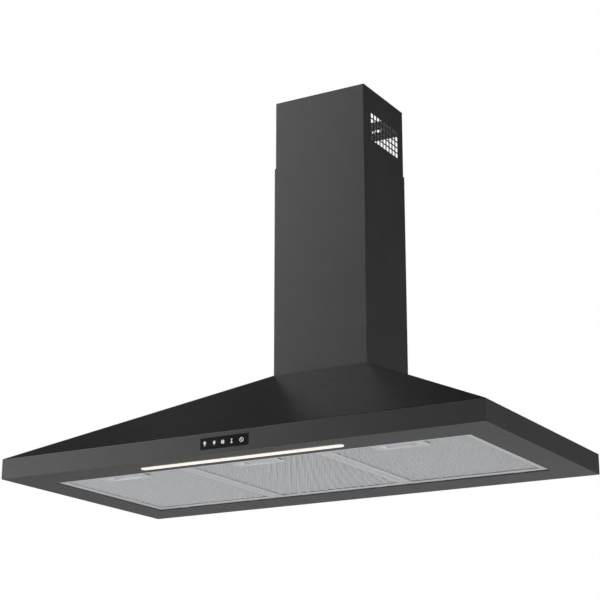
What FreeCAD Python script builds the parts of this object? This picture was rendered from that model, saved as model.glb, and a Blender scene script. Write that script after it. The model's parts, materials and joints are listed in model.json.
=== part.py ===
import FreeCAD, Part
import math
import os

# Chimney range hood, in millimetres. X runs to the right, Y towards the wall and Z up.
# The origin is on the wall plane (y = 0), at mid width, level with the underside of the rim.

V = FreeCAD.Vector

# ---- Sheet metal and the gaps between pieces ----
SHEET = 0.8  # painted steel
GALV = 1.2  # galvanised steel inside
SEAM = 0.1  # between fixed pieces that lie on each other
FREE = 0.3  # between pieces that only locate each other
CUT = 1.0  # how far a cutting block runs past the face it opens

# ---- Canopy ----
WIDTH = 900.0
DEPTH = 470.0
BAND_H = 35.0  # height of the upright band round the foot
SLOPE_H = 171.0  # rise of the slopes above the band
TOP = BAND_H + SLOPE_H

# ---- Air outlet, which sets the section of the chimney ----
DUCT_R = 74.5  # outside of the spigot, for a 150 mm duct
DUCT_LEN = 54.0
DUCT_WALL = 2.0
AIR_CORNER = 5.0  # corners of the air hole in the top plate
COLLAR_T = 2.5  # flange of the spigot
COLLAR_EDGE = 3.5  # spigot to the flange's round edge
COLLAR_EAR = 6.5  # screw to the edge of the flange
SIDE_ROOM = 20.5  # spigot to the outside of the chimney, at each side
BACK_ROOM = 5.5  # the same, at the front and the back
CHIMNEY_W = 2 * (DUCT_R + SIDE_ROOM)
CHIMNEY_D = 2 * (DUCT_R + BACK_ROOM)
DUCT_Y = -CHIMNEY_D / 2

# ---- Chimney covers ----
SLIP = 0.7  # between the covers, so the upper one slides in the lower
LOWER_LEN = 397.0
UPPER_LEN = 400.0
EXPOSED = 132.0  # upper cover showing above the lower one
FOLD_R = 1.4  # outside of a fold
LOWER_LIP = 8.0  # rear flange of the lower cover
UPPER_LIP = 20.0  # rear flange of the upper cover at its bracket
UPPER_EDGE = 9.0  # the same flange lower down
TAB = (8.2, 20.0)  # foot tab of the lower cover: inward, along the wall
TAB_SCREW_IN = 6.0  # outside of the chimney to a tab's screw
LOWER_BOTTOM = TOP + SEAM
LOWER_TOP = LOWER_BOTTOM + LOWER_LEN
UPPER_TOP = LOWER_TOP + EXPOSED

# ---- Side grilles of the upper cover ----
GRILLE_COLUMNS = 9
GRILLE_ROWS = 5
GRILLE_PITCH = (12.3, 11.1)  # along Y, along Z
GRILLE_HOLE = (9.2, 8.8)
GRILLE_DROP = 52.0  # top of the cover to the first row
GRILLE_BACK = 27.4  # wall to the last column

# ---- Chimney wall bracket ----
BRACKET_H = 40.0
BRACKET_DROP = 6.5  # top of the cover to the top of the bracket
BRACKET_SIDE = 1.0  # bracket end to the lower cover's rear flange
BRACKET_SLOT = (21.0, 5.5)
BRACKET_SLOT_X = 38.5
BRACKET_SCREW_IN = 6.5  # bracket's end to its screw

# ---- Screws: shank radius, head radius, head height ----
SCREW = (2.0, 3.8, 2.4)
SCREW_HOLE = 2.2
SCREW_LEN = 8.0

# ---- Rim and filter opening ----
SIDE_MARGIN = 58.0
FRONT_MARGIN = 74.0
REAR_MARGIN = 75.0
LIP_H = 12.0  # fold round the filter opening, above the rim sheet
EDGE_LIP_H = 10.0  # fold along the sides of the rim
OPEN_X = WIDTH / 2 - SIDE_MARGIN
OPEN_FRONT = -(DEPTH - FRONT_MARGIN)
OPEN_REAR = -REAR_MARGIN

# ---- Filters ----
FILTERS = ("left", "center", "right")
FILTER_GAP = 1.3
FILTER_END_GAP = 1.5
FILTER_LIFT = 2.0  # rim's underside to the filter
FILTER_H = 9.0
RAIL_W = 12.0
RAIL_T = 0.9
MESH_T = 0.5
PLEAT_T = 0.3
PLEATS = 16
FILTER_PITCH = 2 * OPEN_X / len(FILTERS)
FILTER_W = FILTER_PITCH - FILTER_GAP
FILTER_FRONT = OPEN_FRONT + FILTER_END_GAP
FILTER_REAR = OPEN_REAR - FILTER_END_GAP
FILTER_TOP = FILTER_LIFT + FILTER_H
TONGUE = (20.0, SHEET, 9.5)  # width, thickness, length
TONGUE_X = 75.0
TONGUE_SLOT = (0.5, 0.7, 2.2)  # room beside, under and over a tongue

# ---- Filter pull plate and latch ----
PLATE = (90.0, 42.0, SHEET)
PLATE_CORNER = 4.0
CUP = (62.0, 26.0)
CUP_UNDER = 0.5  # top of the cup to the frame's upper flange
CUP_FRONT = 11.5  # front of the filter to the cup
CUP_ROOM = 2.0  # mesh layers to the cup
BOLT_R = 2.0
BOLT_OUT = 6.5  # bolt standing out of the filter's front
BOLT_NOSE = 1.2
BOLT_TAB = (28.0, 1.5, 5.8)  # thumb tab in the cup
TAB_PLACE = (3.0, 1.5)  # cup's front wall to the tab, tab's middle below the bolt
BOLT_HOLE = 0.15
KEEPER_HOLE = 0.4
COLLAR = (3.3, 1.0)  # radius, thickness
SPRING_WIRE = 0.25
SPRING_R = 2.8
SPRING_TURNS = 4

# ---- Light bar ----
LIGHT_LEN = 380.0
LIGHT_W = 14.0
LIGHT_BACK = 22.0  # light bar to the filter opening
LIGHT_Y = OPEN_FRONT - LIGHT_BACK - LIGHT_W / 2
DIFFUSER_T = 4.7
DIFFUSER_PROUD = 1.5  # rim's underside down to the diffuser's face
DIFFUSER_ROUND = 1.0
PROFILE_H = 10.0
PROFILE_WALL = 2.0
BOARD_T = 1.6
LED_BOARD_EDGE = 3.0  # diffuser's edge to the light board
LIGHT_CHIPS = 24
CHIP = (5.0, 3.0, 0.8)

# ---- Touch panel ----
GLASS = (90.0, 1.8, 18.5)
GLASS_Z = 8.3
GLASS_BACK = 0.2  # fascia's face to the glass
HOLDER_WALL = 4.0
HOLDER_DEPTH = 9.0
HOLDER_FLOOR = 2.0
TOUCH_BOARD = (80.0, BOARD_T, 13.0)
TOUCH_PAD_R = 4.0
SYMBOLS_X = (-36.0, -18.0, -2.0, 14.0, 32.0)
FASCIA_GAP = 0.3  # seam at each end of the fascia
FASCIA_LIP = 14.0

# ---- Blower, on an axis along X ----
BLADE_R = (57.0, 70.0)
TONGUE_GAP = 6.0  # wheel to the scroll at its tongue
SCROLL_GROWTH = 24.0  # from the tongue to where the rear wall goes up
SCROLL_WALL = 1.0
SCROLL_START = BLADE_R[1] + TONGUE_GAP
SCROLL_END = SCROLL_START + SCROLL_GROWTH
NECK_IN = (3.5, 4.5)  # spigot to the neck: across, front to back
NECK_X = DUCT_R - NECK_IN[0]
NECK_Y = DUCT_R - NECK_IN[1]
BLOWER_LIFT = 15.0  # filters to the scroll
PLATE_EDGE = 5.0  # side plate beyond the scroll
INLET_R = 56.0
INLET_LIP = 4.0
NECK_REAR = DUCT_Y + NECK_Y
NECK_FRONT = DUCT_Y - NECK_Y
NECK_TOP = TOP - SHEET - SEAM
BLOWER_Y = NECK_REAR - SCROLL_END
TONGUE_ANGLE = math.acos((NECK_FRONT - BLOWER_Y) / SCROLL_START)


def scroll_radius(angle):
    """Inside of the scroll: it grows evenly from the tongue to the rear wall."""
    share = (angle - TONGUE_ANGLE) / (2 * math.pi - TONGUE_ANGLE)
    return SCROLL_START + (SCROLL_END - SCROLL_START) * share


BLOWER_Z = FILTER_TOP + BLOWER_LIFT + SCROLL_WALL + scroll_radius(1.5 * math.pi)
SIDE_X = NECK_X + SEAM + GALV  # outside of a side plate
SCREW_OUT = 3.5  # spigot's side to the collar and blower screws, across
SCREW_IN = 32.5  # spigot's front or back to those screws
SCREW_X = DUCT_R + SCREW_OUT
SCREW_Y = DUCT_R - SCREW_IN
FLANGE_EDGE = 6.0  # screw to the side edge of the blower's flange
FLANGE_X = SCREW_X + FLANGE_EDGE
FLANGE_Y = 8.0

# ---- Impeller ----
BLADES = 36
BLADE_T = 0.7
BLADE_SWEEP = (math.radians(1.5), math.radians(9.0))  # at mid chord, at the tip
IMPELLER_X = NECK_X - 7.0  # half the wheel's width
RIM_T = 1.5
DISC_X = (0.0, 2.0)
HUB_R = 11.0
HUB_END = 16.0
NUT_AF = 13.0
SHAFT_PROUD = 1.0  # shaft past the nut

# ---- Motor, in the left half of the impeller ----
SHAFT_R = 4.0
SHAFT_X = (-90.0, 23.0)
STATOR_X = (-60.0, -28.0)
STATOR_R = (23.0, 40.0)
ROTOR_R = 22.6
ROTOR_RING = (19.6, 4.0)  # radius and overhang of the short-circuit rings
COIL_SLOTS = 12
COIL_R = 3.0
COIL_RING = (25.0, 35.0, 9.0)
COIL_PITCH_R = 30.0
BELL_R = 41.0
BELL_LEN = 22.0
BELL_WALL = 2.0
BELL_HOLE = 2.0  # room round the shaft
BELL_VENTS = (6, 26.0, 5.0)  # count, radius of their ring, radius of each
BEARING_R = 11.0
BEARING_T = 7.0
BEARING_FIT = 0.05
RUNNING = 0.03
GROMMET_R = 6.0
GROMMET_T = 1.8
SPIDER_T = 2.0
SPIDER_R = (12.0, 64.0)
SPIDER_ARM = 12.0
SPIDER_HOLE = 4.0  # room round the shaft
SPIDER_FOOT = 9.0
GUARD_RIB = 2.4
GUARD_T = 2.0
GUARD_RINGS = (18.0, 36.0, 54.0)
GUARD_OUT = 6.0
GUARD_FOOT_R = 62.0

# ---- Electric parts on the back panel ----
BOX_RIGHT = -(SIDE_X + 62.7)
BOX_SIZE = (120.0, 61.0, 60.0)
BOX_Z = 36.0
BOX_WALL = 1.5
LID_T = 1.5
LID_RIM = 4.0
POST_R = 3.0
POST_LEN = 10.0
POST_INSET = 10.0
BOARD_INSET = 4.0
TRANSFORMER = (28.0, 22.0, 26.0)  # wide, deep, tall
TRANSFORMER_AT = (8.0, 18.0)  # from the board's left edge and the box's underside
RELAYS = 4
RELAY = (9.0, 15.0, 18.0)
RELAY_Z = 32.0
TERMINAL = (9.0, 10.0, 10.0)
TERMINAL_Z = 8.0
RELAY_X = (44.0, 12.0)  # board's left edge to the first one, pitch
CASE_ROUND = 2.0
DRIVER_SIZE = (70.0, 29.0, 28.0)
DRIVER_GAP = 20.0
DRIVER_Z = 20.0
CAPACITOR_R = 15.0
CAPACITOR_LEN = 62.0
CAPACITOR_X = SIDE_X + 40.0
CAPACITOR_Z = 100.0
CAPACITOR_END = (3.0, 4.0)  # plastic end: step in radius, length
CAPACITOR_TAG = (9.0, 0.8, 6.0)
CAPACITOR_TAG_Y = 5.0
CLIP_W = 12.0
CLIP_T = 1.0
CLIP_STAND = 2.0
CLIP_FOOT = 10.0
CLIP_NECK = (8.0, 4.0)  # half height, depth in the strap
BACK_FACE = -SHEET - SEAM  # inner face of the back panel, with its gap

# ---- Wall holes in the back panel ----
KEYHOLE_X = 150.0
KEYHOLE_Z = 150.0
KEYHOLE_R = (6.0, 3.0)
KEYHOLE_UP = 11.0
LOCK_X = 150.0
LOCK_Z = 22.0
LOCK_R = 3.25

# ---- Cable gland, in the rear left corner of the top plate ----
GLAND_X = -(CHIMNEY_W / 2 - 10.0)
GLAND_Y = -14.0
GLAND_BORE = 4.0
GLAND_R = 6.0
GLAND_HEX = 13.0
GLAND_NUT_H = 5.0
GLAND_UP = 13.0
GLAND_DOWN = 9.0

# ---- Back-draught flaps ----
FLAP_R = DUCT_R - DUCT_WALL - 0.7
FLAP_T = 1.2
FLAP_Z = TOP + 10.0
FLAP_INNER = 4.2  # pin's axis to the plain edge of a flap
PIN_R = 1.5
KNUCKLE_R = 2.6
KNUCKLE_RUN = 0.05
KNUCKLES = 6
KNUCKLE_END = 5.8  # rim of a flap to the end of the knuckles
KNUCKLE_GAP = 2.0
KNUCKLE_STEP = 2 * (FLAP_R - KNUCKLE_END) / KNUCKLES
KNUCKLE_LEN = KNUCKLE_STEP - KNUCKLE_GAP
LEDGE = (3.0, 1.5, 0.4)  # width, thickness, gap under a flap

# ---- Leads ----
LEAD_R = 2.0
PANEL_LEAD_R = 1.5
LIGHT_LANE = 14.0  # filter opening to the light lead
PANEL_LANE = 26.0  # filter opening to the panel lead
BEND_SHARE = 0.45  # share of the shorter run that an arc takes


def box(x0, x1, y0, y1, z0, z1):
    """Block between two corners."""
    return Part.makeBox(x1 - x0, y1 - y0, z1 - z0, V(x0, y0, z0))


def rod(radius, start, end):
    """Round bar from one point to another."""
    run = V(*end) - V(*start)
    return Part.makeCylinder(radius, run.Length, V(*start), run)


def pipe(outer, inner, start, end):
    """Round tube from one point to another."""
    return rod(outer, start, end).cut(rod(inner, start, end))


def prism(points, run):
    """Straight extrusion of a closed polygon."""
    corners = [V(*p) for p in points]
    return Part.Face(Part.makePolygon(corners + corners[:1])).extrude(V(*run))


def join(*pieces):
    """One solid from pieces that run into each other."""
    whole = pieces[0].multiFuse(list(pieces[1:])).removeSplitter()
    if len(whole.Solids) != 1:
        raise ValueError("pieces of one solid don't meet")
    return whole.Solids[0]


def carve(shape, *tools):
    """The shape without the tools, which must leave it in one piece."""
    left = shape.cut(Part.makeCompound(list(tools)))
    if len(left.Solids) != 1:
        raise ValueError("a cut took a solid apart")
    return left.Solids[0]


def stadium(cx, cy, length, width, z0, z1):
    """Upright block with half-round ends, its length along X."""
    end_x = length / 2 - width / 2
    middle = box(cx - end_x, cx + end_x, cy - width / 2, cy + width / 2, z0, z1)
    ends = [rod(width / 2, (cx + s * end_x, cy, z0), (cx + s * end_x, cy, z1)) for s in (-1, 1)]
    return join(middle, *ends)


def hexagon(cx, cy, z0, z1, across):
    """Upright hexagonal block, with its width across the flats."""
    corner = across / math.sqrt(3)
    angles = [math.radians(60 * n) for n in range(6)]
    points = [(cx + corner * math.cos(a), cy + corner * math.sin(a), z0) for a in angles]
    return prism(points, (0, 0, z1 - z0))


def screw(x, y, z, length=SCREW_LEN):
    """Pan-head screw that points down, with the underside of its head at z."""
    shank, head, height = SCREW
    top = rod(head, (x, y, z), (x, y, z + height))
    rounded = top.makeFillet(height / 3, [e for e in top.Edges if e.BoundBox.ZMin > z + height / 2])
    return join(rounded, rod(shank, (x, y, z - length), (x, y, z + height / 2)))


def cable(name, points, radius):
    """Round lead: straight runs joined by arcs as large as the shorter run beside them allows."""
    corners = [V(*p) for p in points]
    edges, at, bends = [], corners[0], []
    for before, corner, after in zip(corners, corners[1:], corners[2:]):
        back, ahead = before - corner, after - corner
        setback = BEND_SHARE * min(back.Length, ahead.Length)
        back.normalize()
        ahead.normalize()
        half_turn = (math.pi - back.getAngle(ahead)) / 2
        bend = setback / math.tan(half_turn)
        inward = (back + ahead).normalize()
        middle = corner + inward * (bend / math.cos(half_turn) - bend)
        start, end = corner + back * setback, corner + ahead * setback
        edges += [Part.LineSegment(at, start).toShape(), Part.Arc(start, middle, end).toShape()]
        bends.append(round(bend, 1))
        at = end
    edges.append(Part.LineSegment(at, corners[-1]).toShape())
    path = Part.Wire(edges)
    section = Part.Wire(Part.Circle(corners[0], corners[1] - corners[0], radius).toShape())
    lead = path.makePipeShell([section], True, False).Solids[0]
    wanted = math.pi * radius**2 * path.Length
    print(name, "length", round(path.Length), "radii", bends, "volume", round(lead.Volume / wanted, 4))
    return lead


# ---- Canopy ----


def slope_outline(half, run, inset, low, high):
    """Band and slope as (distance, height) points, moved inward square to each surface."""
    slant = inset * math.hypot(run, SLOPE_H) / SLOPE_H
    bend = BAND_H - (slant - inset) * SLOPE_H / run
    top = half - (high - BAND_H) * run / SLOPE_H - slant
    return [(half - inset, low), (half - inset, bend), (top, high)]


def across_form(inset, low, high, y0, y1):
    """The canopy's front view, as a slab from y0 to y1."""
    side = slope_outline(WIDTH / 2, (WIDTH - CHIMNEY_W) / 2, inset, low, high)
    outline = [(x, y0, z) for x, z in side] + [(-x, y0, z) for x, z in reversed(side)]
    return prism(outline, (0, y1 - y0, 0))


def canopy_form(inset, low, high, back):
    """The canopy's whole form, moved inward by the inset at its front and sides."""
    front = slope_outline(DEPTH, DEPTH - CHIMNEY_D, inset, low, high)
    outline = [(-WIDTH / 2, -y, z) for y, z in front]
    outline += [(-WIDTH / 2, back, high), (-WIDTH / 2, back, low)]
    return across_form(inset, low, high, -DEPTH, back).common(prism(outline, (WIDTH, 0, 0)))


def duct_screws():
    """Places of the four screws through the collar, the top plate and the blower."""
    return [(sx * SCREW_X, DUCT_Y + sy * SCREW_Y) for sx in (-1, 1) for sy in (-1, 1)]


def tab_screws():
    """Places of the two screws in the lower cover's foot tabs."""
    return [(s * (CHIMNEY_W / 2 - TAB_SCREW_IN), DUCT_Y) for s in (-1, 1)]


def top_holes(low, high):
    """Screw holes through the top of the canopy."""
    return [rod(SCREW_HOLE, (x, y, low), (x, y, high)) for x, y in duct_screws() + tab_screws()]


def canopy_shell():
    """Three slopes and the side bands, open below, above and behind."""
    skin = canopy_form(0, 0, TOP, 0).cut(canopy_form(SHEET, -CUT, TOP + CUT, CUT))
    inner = WIDTH / 2 - SHEET
    band = box(-inner, inner, -DEPTH - CUT, -DEPTH + FASCIA_LIP, -CUT, BAND_H)
    return carve(skin, band)


def top_plate():
    """Plate let into the top of the slopes, with a square air hole and holes for the gland and the screws."""
    slab = box(-CHIMNEY_W, CHIMNEY_W, -DEPTH, 0, TOP - SHEET, TOP)
    plate = canopy_form(SHEET + SEAM, 0, TOP, 0).common(slab)
    low, high = TOP - SHEET - CUT, TOP + CUT
    half = DUCT_R - DUCT_WALL + FREE
    air = box(-half, half, DUCT_Y - half, DUCT_Y + half, low, high)
    corners = [e for e in air.Edges if abs(e.BoundBox.ZLength - (high - low)) < SEAM / 2]
    gland = rod(GLAND_R + FREE, (GLAND_X, GLAND_Y, low), (GLAND_X, GLAND_Y, high))
    return carve(plate, air.makeFillet(AIR_CORNER, corners), gland, *top_holes(low, high))


def front_fascia():
    """Front strip with a fold above and below, and the cut-out for the touch panel."""
    end = WIDTH / 2 - SHEET - FASCIA_GAP
    front, back, top = -DEPTH, -DEPTH + FASCIA_LIP, BAND_H - SEAM
    strip = box(-end, end, front, back, 0, top)
    fold = [e for e in strip.Edges if e.BoundBox.YMax < front + SEAM and e.BoundBox.ZMin > top - SEAM]
    strip = strip.makeFillet(FOLD_R, fold)
    hollow = box(-end - CUT, end + CUT, front + SHEET, back + CUT, 2 * SHEET + SEAM, top - SHEET)
    foot = box(-end - CUT, end + CUT, front + SHEET, back + CUT, -CUT, SHEET + SEAM)
    half = GLASS[0] / 2 + FREE
    panel = box(-half, half, front - CUT, front + SHEET + CUT, GLASS_Z - FREE, GLASS_Z + GLASS[2] + FREE)
    return carve(strip, hollow, foot, panel)


def filter_centers():
    """Middle of each filter along X, from left to right."""
    middle = (len(FILTERS) - 1) / 2
    return [(n - middle) * FILTER_PITCH for n in range(len(FILTERS))]


def bottom_frame():
    """Rim under the canopy, folded up round the filter opening and along its outer edges."""
    edge_x, front, back = WIDTH / 2 - SHEET - SEAM, -DEPTH + SHEET + SEAM, BACK_FACE
    rim = box(-edge_x, edge_x, front, back, 0, SHEET)
    lips = [
        box(-OPEN_X - SHEET, OPEN_X + SHEET, OPEN_FRONT - SHEET, OPEN_REAR + SHEET, 0, SHEET + LIP_H),
        box(-edge_x, -edge_x + SHEET, -DEPTH + FASCIA_LIP + FREE, back, 0, SHEET + EDGE_LIP_H),
        box(edge_x - SHEET, edge_x, -DEPTH + FASCIA_LIP + FREE, back, 0, SHEET + EDGE_LIP_H),
        box(-edge_x, edge_x, back - SHEET, back, 0, SHEET + EDGE_LIP_H),
    ]
    opening = box(-OPEN_X, OPEN_X, OPEN_FRONT, OPEN_REAR, -CUT, SHEET + LIP_H + CUT)
    light = stadium(0, LIGHT_Y, LIGHT_LEN + 2 * FREE, LIGHT_W + 2 * FREE, -CUT, SHEET + CUT)
    return carve(join(rim, *lips), opening, light, *tongue_slots(), *keeper_holes())


def tongue_slots():
    """Slots in the rear fold that hold the filters' tongues and let them tilt."""
    beside, under, over = TONGUE_SLOT
    half = TONGUE[0] / 2 + beside
    low, high = FILTER_LIFT - under, FILTER_LIFT + TONGUE[1] + over
    return [
        box(x - half, x + half, OPEN_REAR - CUT, OPEN_REAR + SHEET + CUT, low, high)
        for middle in filter_centers()
        for x in (middle - TONGUE_X, middle + TONGUE_X)
    ]


def bolt_height():
    """Height of the latch bolts: mid height of the filters."""
    return FILTER_LIFT + FILTER_H / 2


def keeper_holes():
    """Holes in the front fold for the latch bolts."""
    z, radius = bolt_height(), BOLT_R + KEEPER_HOLE
    y0, y1 = OPEN_FRONT - SHEET - CUT, OPEN_FRONT + CUT
    return [rod(radius, (x, y0, z), (x, y1, z)) for x in filter_centers()]


def back_panel():
    """Rear sheet of the canopy with two keyholes and two lock holes."""
    panel = across_form(SHEET + SEAM, 0, TOP - SHEET - SEAM, -SHEET, 0)
    tools = []
    for side in (-1, 1):
        x, top = side * KEYHOLE_X, KEYHOLE_Z + KEYHOLE_UP
        entry, slot = KEYHOLE_R
        tools.append(rod(entry, (x, -SHEET - CUT, KEYHOLE_Z), (x, CUT, KEYHOLE_Z)))
        tools.append(rod(slot, (x, -SHEET - CUT, top), (x, CUT, top)))
        tools.append(box(x - slot, x + slot, -SHEET - CUT, CUT, KEYHOLE_Z, top))
        tools.append(rod(LOCK_R, (side * LOCK_X, -SHEET - CUT, LOCK_Z), (side * LOCK_X, CUT, LOCK_Z)))
    return carve(panel, *tools)


# ---- Chimney ----


def cover(inset, lip, back, z0, z1):
    """Folded cover, open behind between two flanges, inset from the lower cover's outside."""
    x, front = CHIMNEY_W / 2 - inset, -CHIMNEY_D + inset
    outer = box(-x, x, front, back, z0, z1)
    inner = box(-x + SHEET, x - SHEET, front + SHEET, back - SHEET, z0 - CUT, z1 + CUT)
    at_front = [e for e in outer.Edges if e.BoundBox.ZLength > CUT and e.BoundBox.YMax < front + SEAM]
    inside = [e for e in inner.Edges if e.BoundBox.ZLength > CUT and e.BoundBox.YMax < front + SHEET + SEAM]
    gap = box(-x + lip, x - lip, back - SHEET - CUT, back + CUT, z0 - CUT, z1 + CUT)
    return carve(outer.makeFillet(FOLD_R, at_front), inner.makeFillet(FOLD_R - SHEET, inside), gap)


def lower_chimney():
    """Lower cover, with a tab at the foot of each side that is screwed to the canopy."""
    body = cover(0, LOWER_LIP, 0, LOWER_BOTTOM, LOWER_TOP)
    inward, along = TAB
    tabs = []
    for side in (-1, 1):
        x0, x1 = sorted((side * (CHIMNEY_W / 2 - SHEET - inward), side * (CHIMNEY_W / 2 - SHEET / 2)))
        tabs.append(box(x0, x1, DUCT_Y - along / 2, DUCT_Y + along / 2, LOWER_BOTTOM, LOWER_BOTTOM + SHEET))
    return carve(join(body, *tabs), *top_holes(LOWER_BOTTOM - CUT, LOWER_BOTTOM + SHEET + CUT)[-2:])


def chimney_screws():
    """Two screws through the lower cover's foot tabs."""
    return [screw(x, y, LOWER_BOTTOM + SHEET + SEAM) for x, y in tab_screws()]


def bracket_end():
    """Half the bracket's length: it clears the lower cover's flanges."""
    return CHIMNEY_W / 2 - LOWER_LIP - BRACKET_SIDE


def bracket_screw_places():
    """Middle of each screw that holds the upper cover to its bracket, as (x, z)."""
    z = UPPER_TOP - BRACKET_DROP - BRACKET_H / 2
    return [(side * (bracket_end() - BRACKET_SCREW_IN), z) for side in (-1, 1)]


def upper_inset():
    """Outside of the lower cover to the outside of the upper one."""
    return SHEET + SLIP


def upper_chimney():
    """Upper cover, with a grille of square holes in each side; its flanges are wide only at the bracket."""
    inset = upper_inset()
    low, foot = UPPER_TOP - UPPER_LEN, UPPER_TOP - BRACKET_DROP - BRACKET_H
    body = cover(inset, UPPER_LIP, -inset, low, UPPER_TOP)
    half = CHIMNEY_W / 2 - inset - UPPER_EDGE
    notch = box(-half, half, -inset - SHEET - CUT, -inset + CUT, low - CUT, foot)
    step_y, step_z = GRILLE_PITCH
    half_y, half_z = GRILLE_HOLE[0] / 2, GRILLE_HOLE[1] / 2
    x = CHIMNEY_W / 2
    holes = []
    for column in range(GRILLE_COLUMNS):
        for row in range(GRILLE_ROWS):
            y = -GRILLE_BACK - column * step_y
            z = UPPER_TOP - GRILLE_DROP - row * step_z
            holes.append(box(-x, x, y - half_y, y + half_y, z - half_z, z + half_z))
    for x, z in bracket_screw_places():
        holes.append(rod(SCREW_HOLE, (x, -inset - SHEET - CUT, z), (x, -inset + CUT, z)))
    return carve(body, notch, *holes)


def chimney_bracket():
    """Wall strip behind the upper cover's flanges, with two slots for wall screws."""
    x = bracket_end()
    top = UPPER_TOP - BRACKET_DROP
    middle = top - BRACKET_H / 2
    back, front = 0, -upper_inset() + SEAM
    strip = box(-x, x, front, back, top - BRACKET_H, top)
    length, height = BRACKET_SLOT
    end = length / 2 - height / 2
    tools = []
    for side in (-1, 1):
        cx = side * BRACKET_SLOT_X
        tools.append(box(cx - end, cx + end, front - CUT, CUT, middle - height / 2, middle + height / 2))
        for end_x in (cx - end, cx + end):
            tools.append(rod(height / 2, (end_x, front - CUT, middle), (end_x, CUT, middle)))
    for cx, z in bracket_screw_places():
        tools.append(rod(SCREW_HOLE, (cx, front - CUT, z), (cx, CUT, z)))
    return carve(strip, *tools)


def bracket_screws():
    """Two screws from inside, through the upper cover's flanges into the bracket."""
    face = -upper_inset() - SHEET - SEAM
    made = []
    for x, z in bracket_screw_places():
        upright = screw(0, 0, 0, length=-face - SEAM)
        upright.rotate(V(0, 0, 0), V(1, 0, 0), 90)
        upright.translate(V(x, face, z))
        made.append(upright)
    return made


# ---- Outlet collar and flaps ----


def outlet_collar():
    """Plastic spigot with a screwed flange, a ledge under the flaps and holes for their pin."""
    z0, z1 = TOP + SEAM, TOP + SEAM + COLLAR_T
    inner = DUCT_R - DUCT_WALL
    centre = (0, DUCT_Y)
    tube = pipe(DUCT_R, inner, (*centre, z0), (*centre, TOP + DUCT_LEN))
    disc = rod(DUCT_R + COLLAR_EDGE, (*centre, z0), (*centre, z1))
    ear_x, ear_y = SCREW_X + COLLAR_EAR, SCREW_Y + COLLAR_EAR
    plate = box(-ear_x, ear_x, DUCT_Y - ear_y, DUCT_Y + ear_y, z0, z1)
    flange = carve(join(disc, plate), rod(inner, (*centre, z0 - CUT), (*centre, z1 + CUT)))
    width, thick, gap = LEDGE
    ledge_top = FLAP_Z - FLAP_T / 2 - gap
    ledge = pipe(inner + SEAM, inner - width, (*centre, ledge_top - thick), (*centre, ledge_top))
    low, high = ledge_top - thick - CUT, ledge_top + CUT
    notch = box(-DUCT_R, DUCT_R, DUCT_Y - 2 * PIN_R, DUCT_Y + 2 * PIN_R, low, high)
    whole = tube.multiFuse([flange, ledge.cut(notch)]).removeSplitter().Solids[0]
    pin = rod(PIN_R + SEAM, (-DUCT_R - CUT, DUCT_Y, FLAP_Z), (DUCT_R + CUT, DUCT_Y, FLAP_Z))
    holes = [rod(SCREW_HOLE, (x, y, z0 - CUT), (x, y, z1 + CUT)) for x, y in duct_screws()]
    return carve(whole, pin, *holes)


def blower_screws():
    """Four screws through the collar's flange and the top plate into the blower."""
    return [screw(x, y, TOP + SEAM + COLLAR_T + SEAM) for x, y in duct_screws()]


def flap_pin():
    """Pin across the spigot that both flaps turn on."""
    end = math.sqrt(DUCT_R**2 - (2 * PIN_R) ** 2) - SEAM
    return rod(PIN_R, (-end, DUCT_Y, FLAP_Z), (end, DUCT_Y, FLAP_Z))


def flap(side, first):
    """Half disc on one side of the pin, with every second knuckle from the first one on."""
    centre = (0, DUCT_Y)
    disc = rod(FLAP_R, (*centre, FLAP_Z - FLAP_T / 2), (*centre, FLAP_Z + FLAP_T / 2))
    near, far = sorted((DUCT_Y + side * FLAP_INNER, DUCT_Y + side * DUCT_R))
    blade = disc.common(box(-DUCT_R, DUCT_R, near, far, FLAP_Z - FLAP_T, FLAP_Z + FLAP_T))
    pieces = []
    low, high = sorted((DUCT_Y, DUCT_Y + side * (FLAP_INNER + CUT)))
    for n in range(first, KNUCKLES, 2):
        x0 = (n - KNUCKLES / 2) * KNUCKLE_STEP + KNUCKLE_GAP / 2
        pieces.append(box(x0, x0 + KNUCKLE_LEN, low, high, FLAP_Z - FLAP_T / 2, FLAP_Z + FLAP_T / 2))
        pieces.append(rod(KNUCKLE_R, (x0, DUCT_Y, FLAP_Z), (x0 + KNUCKLE_LEN, DUCT_Y, FLAP_Z)))
    bore = rod(PIN_R + KNUCKLE_RUN, (-DUCT_R, DUCT_Y, FLAP_Z), (DUCT_R, DUCT_Y, FLAP_Z))
    return carve(join(blade, *pieces), bore)


def flaps():
    """Front and rear flap; their knuckles alternate along the pin."""
    return flap(-1, 0), flap(1, 1)


def cable_gland():
    """Gland for the mains cord, and its lock nut under the top plate."""
    x, y = GLAND_X, GLAND_Y
    seat = TOP + SEAM
    body = join(
        rod(GLAND_R, (x, y, TOP - GLAND_DOWN), (x, y, seat + GLAND_UP)),
        hexagon(x, y, seat, seat + GLAND_NUT_H, GLAND_HEX),
    )
    bore = rod(GLAND_BORE, (x, y, TOP - GLAND_DOWN - CUT), (x, y, seat + GLAND_UP + CUT))
    nut_top = TOP - SHEET - SEAM
    nut = hexagon(x, y, nut_top - GLAND_NUT_H, nut_top, GLAND_HEX)
    thread = rod(GLAND_R + SEAM, (x, y, nut_top - GLAND_NUT_H - CUT), (x, y, nut_top + CUT))
    return [carve(body, bore), carve(nut, thread)]


# ---- Blower ----


def blower_point(x, radius, angle):
    """Point round the blower's axis; angle 0 is towards the wall and a quarter turn is up."""
    return V(x, BLOWER_Y + radius * math.cos(angle), BLOWER_Z + radius * math.sin(angle))


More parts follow.
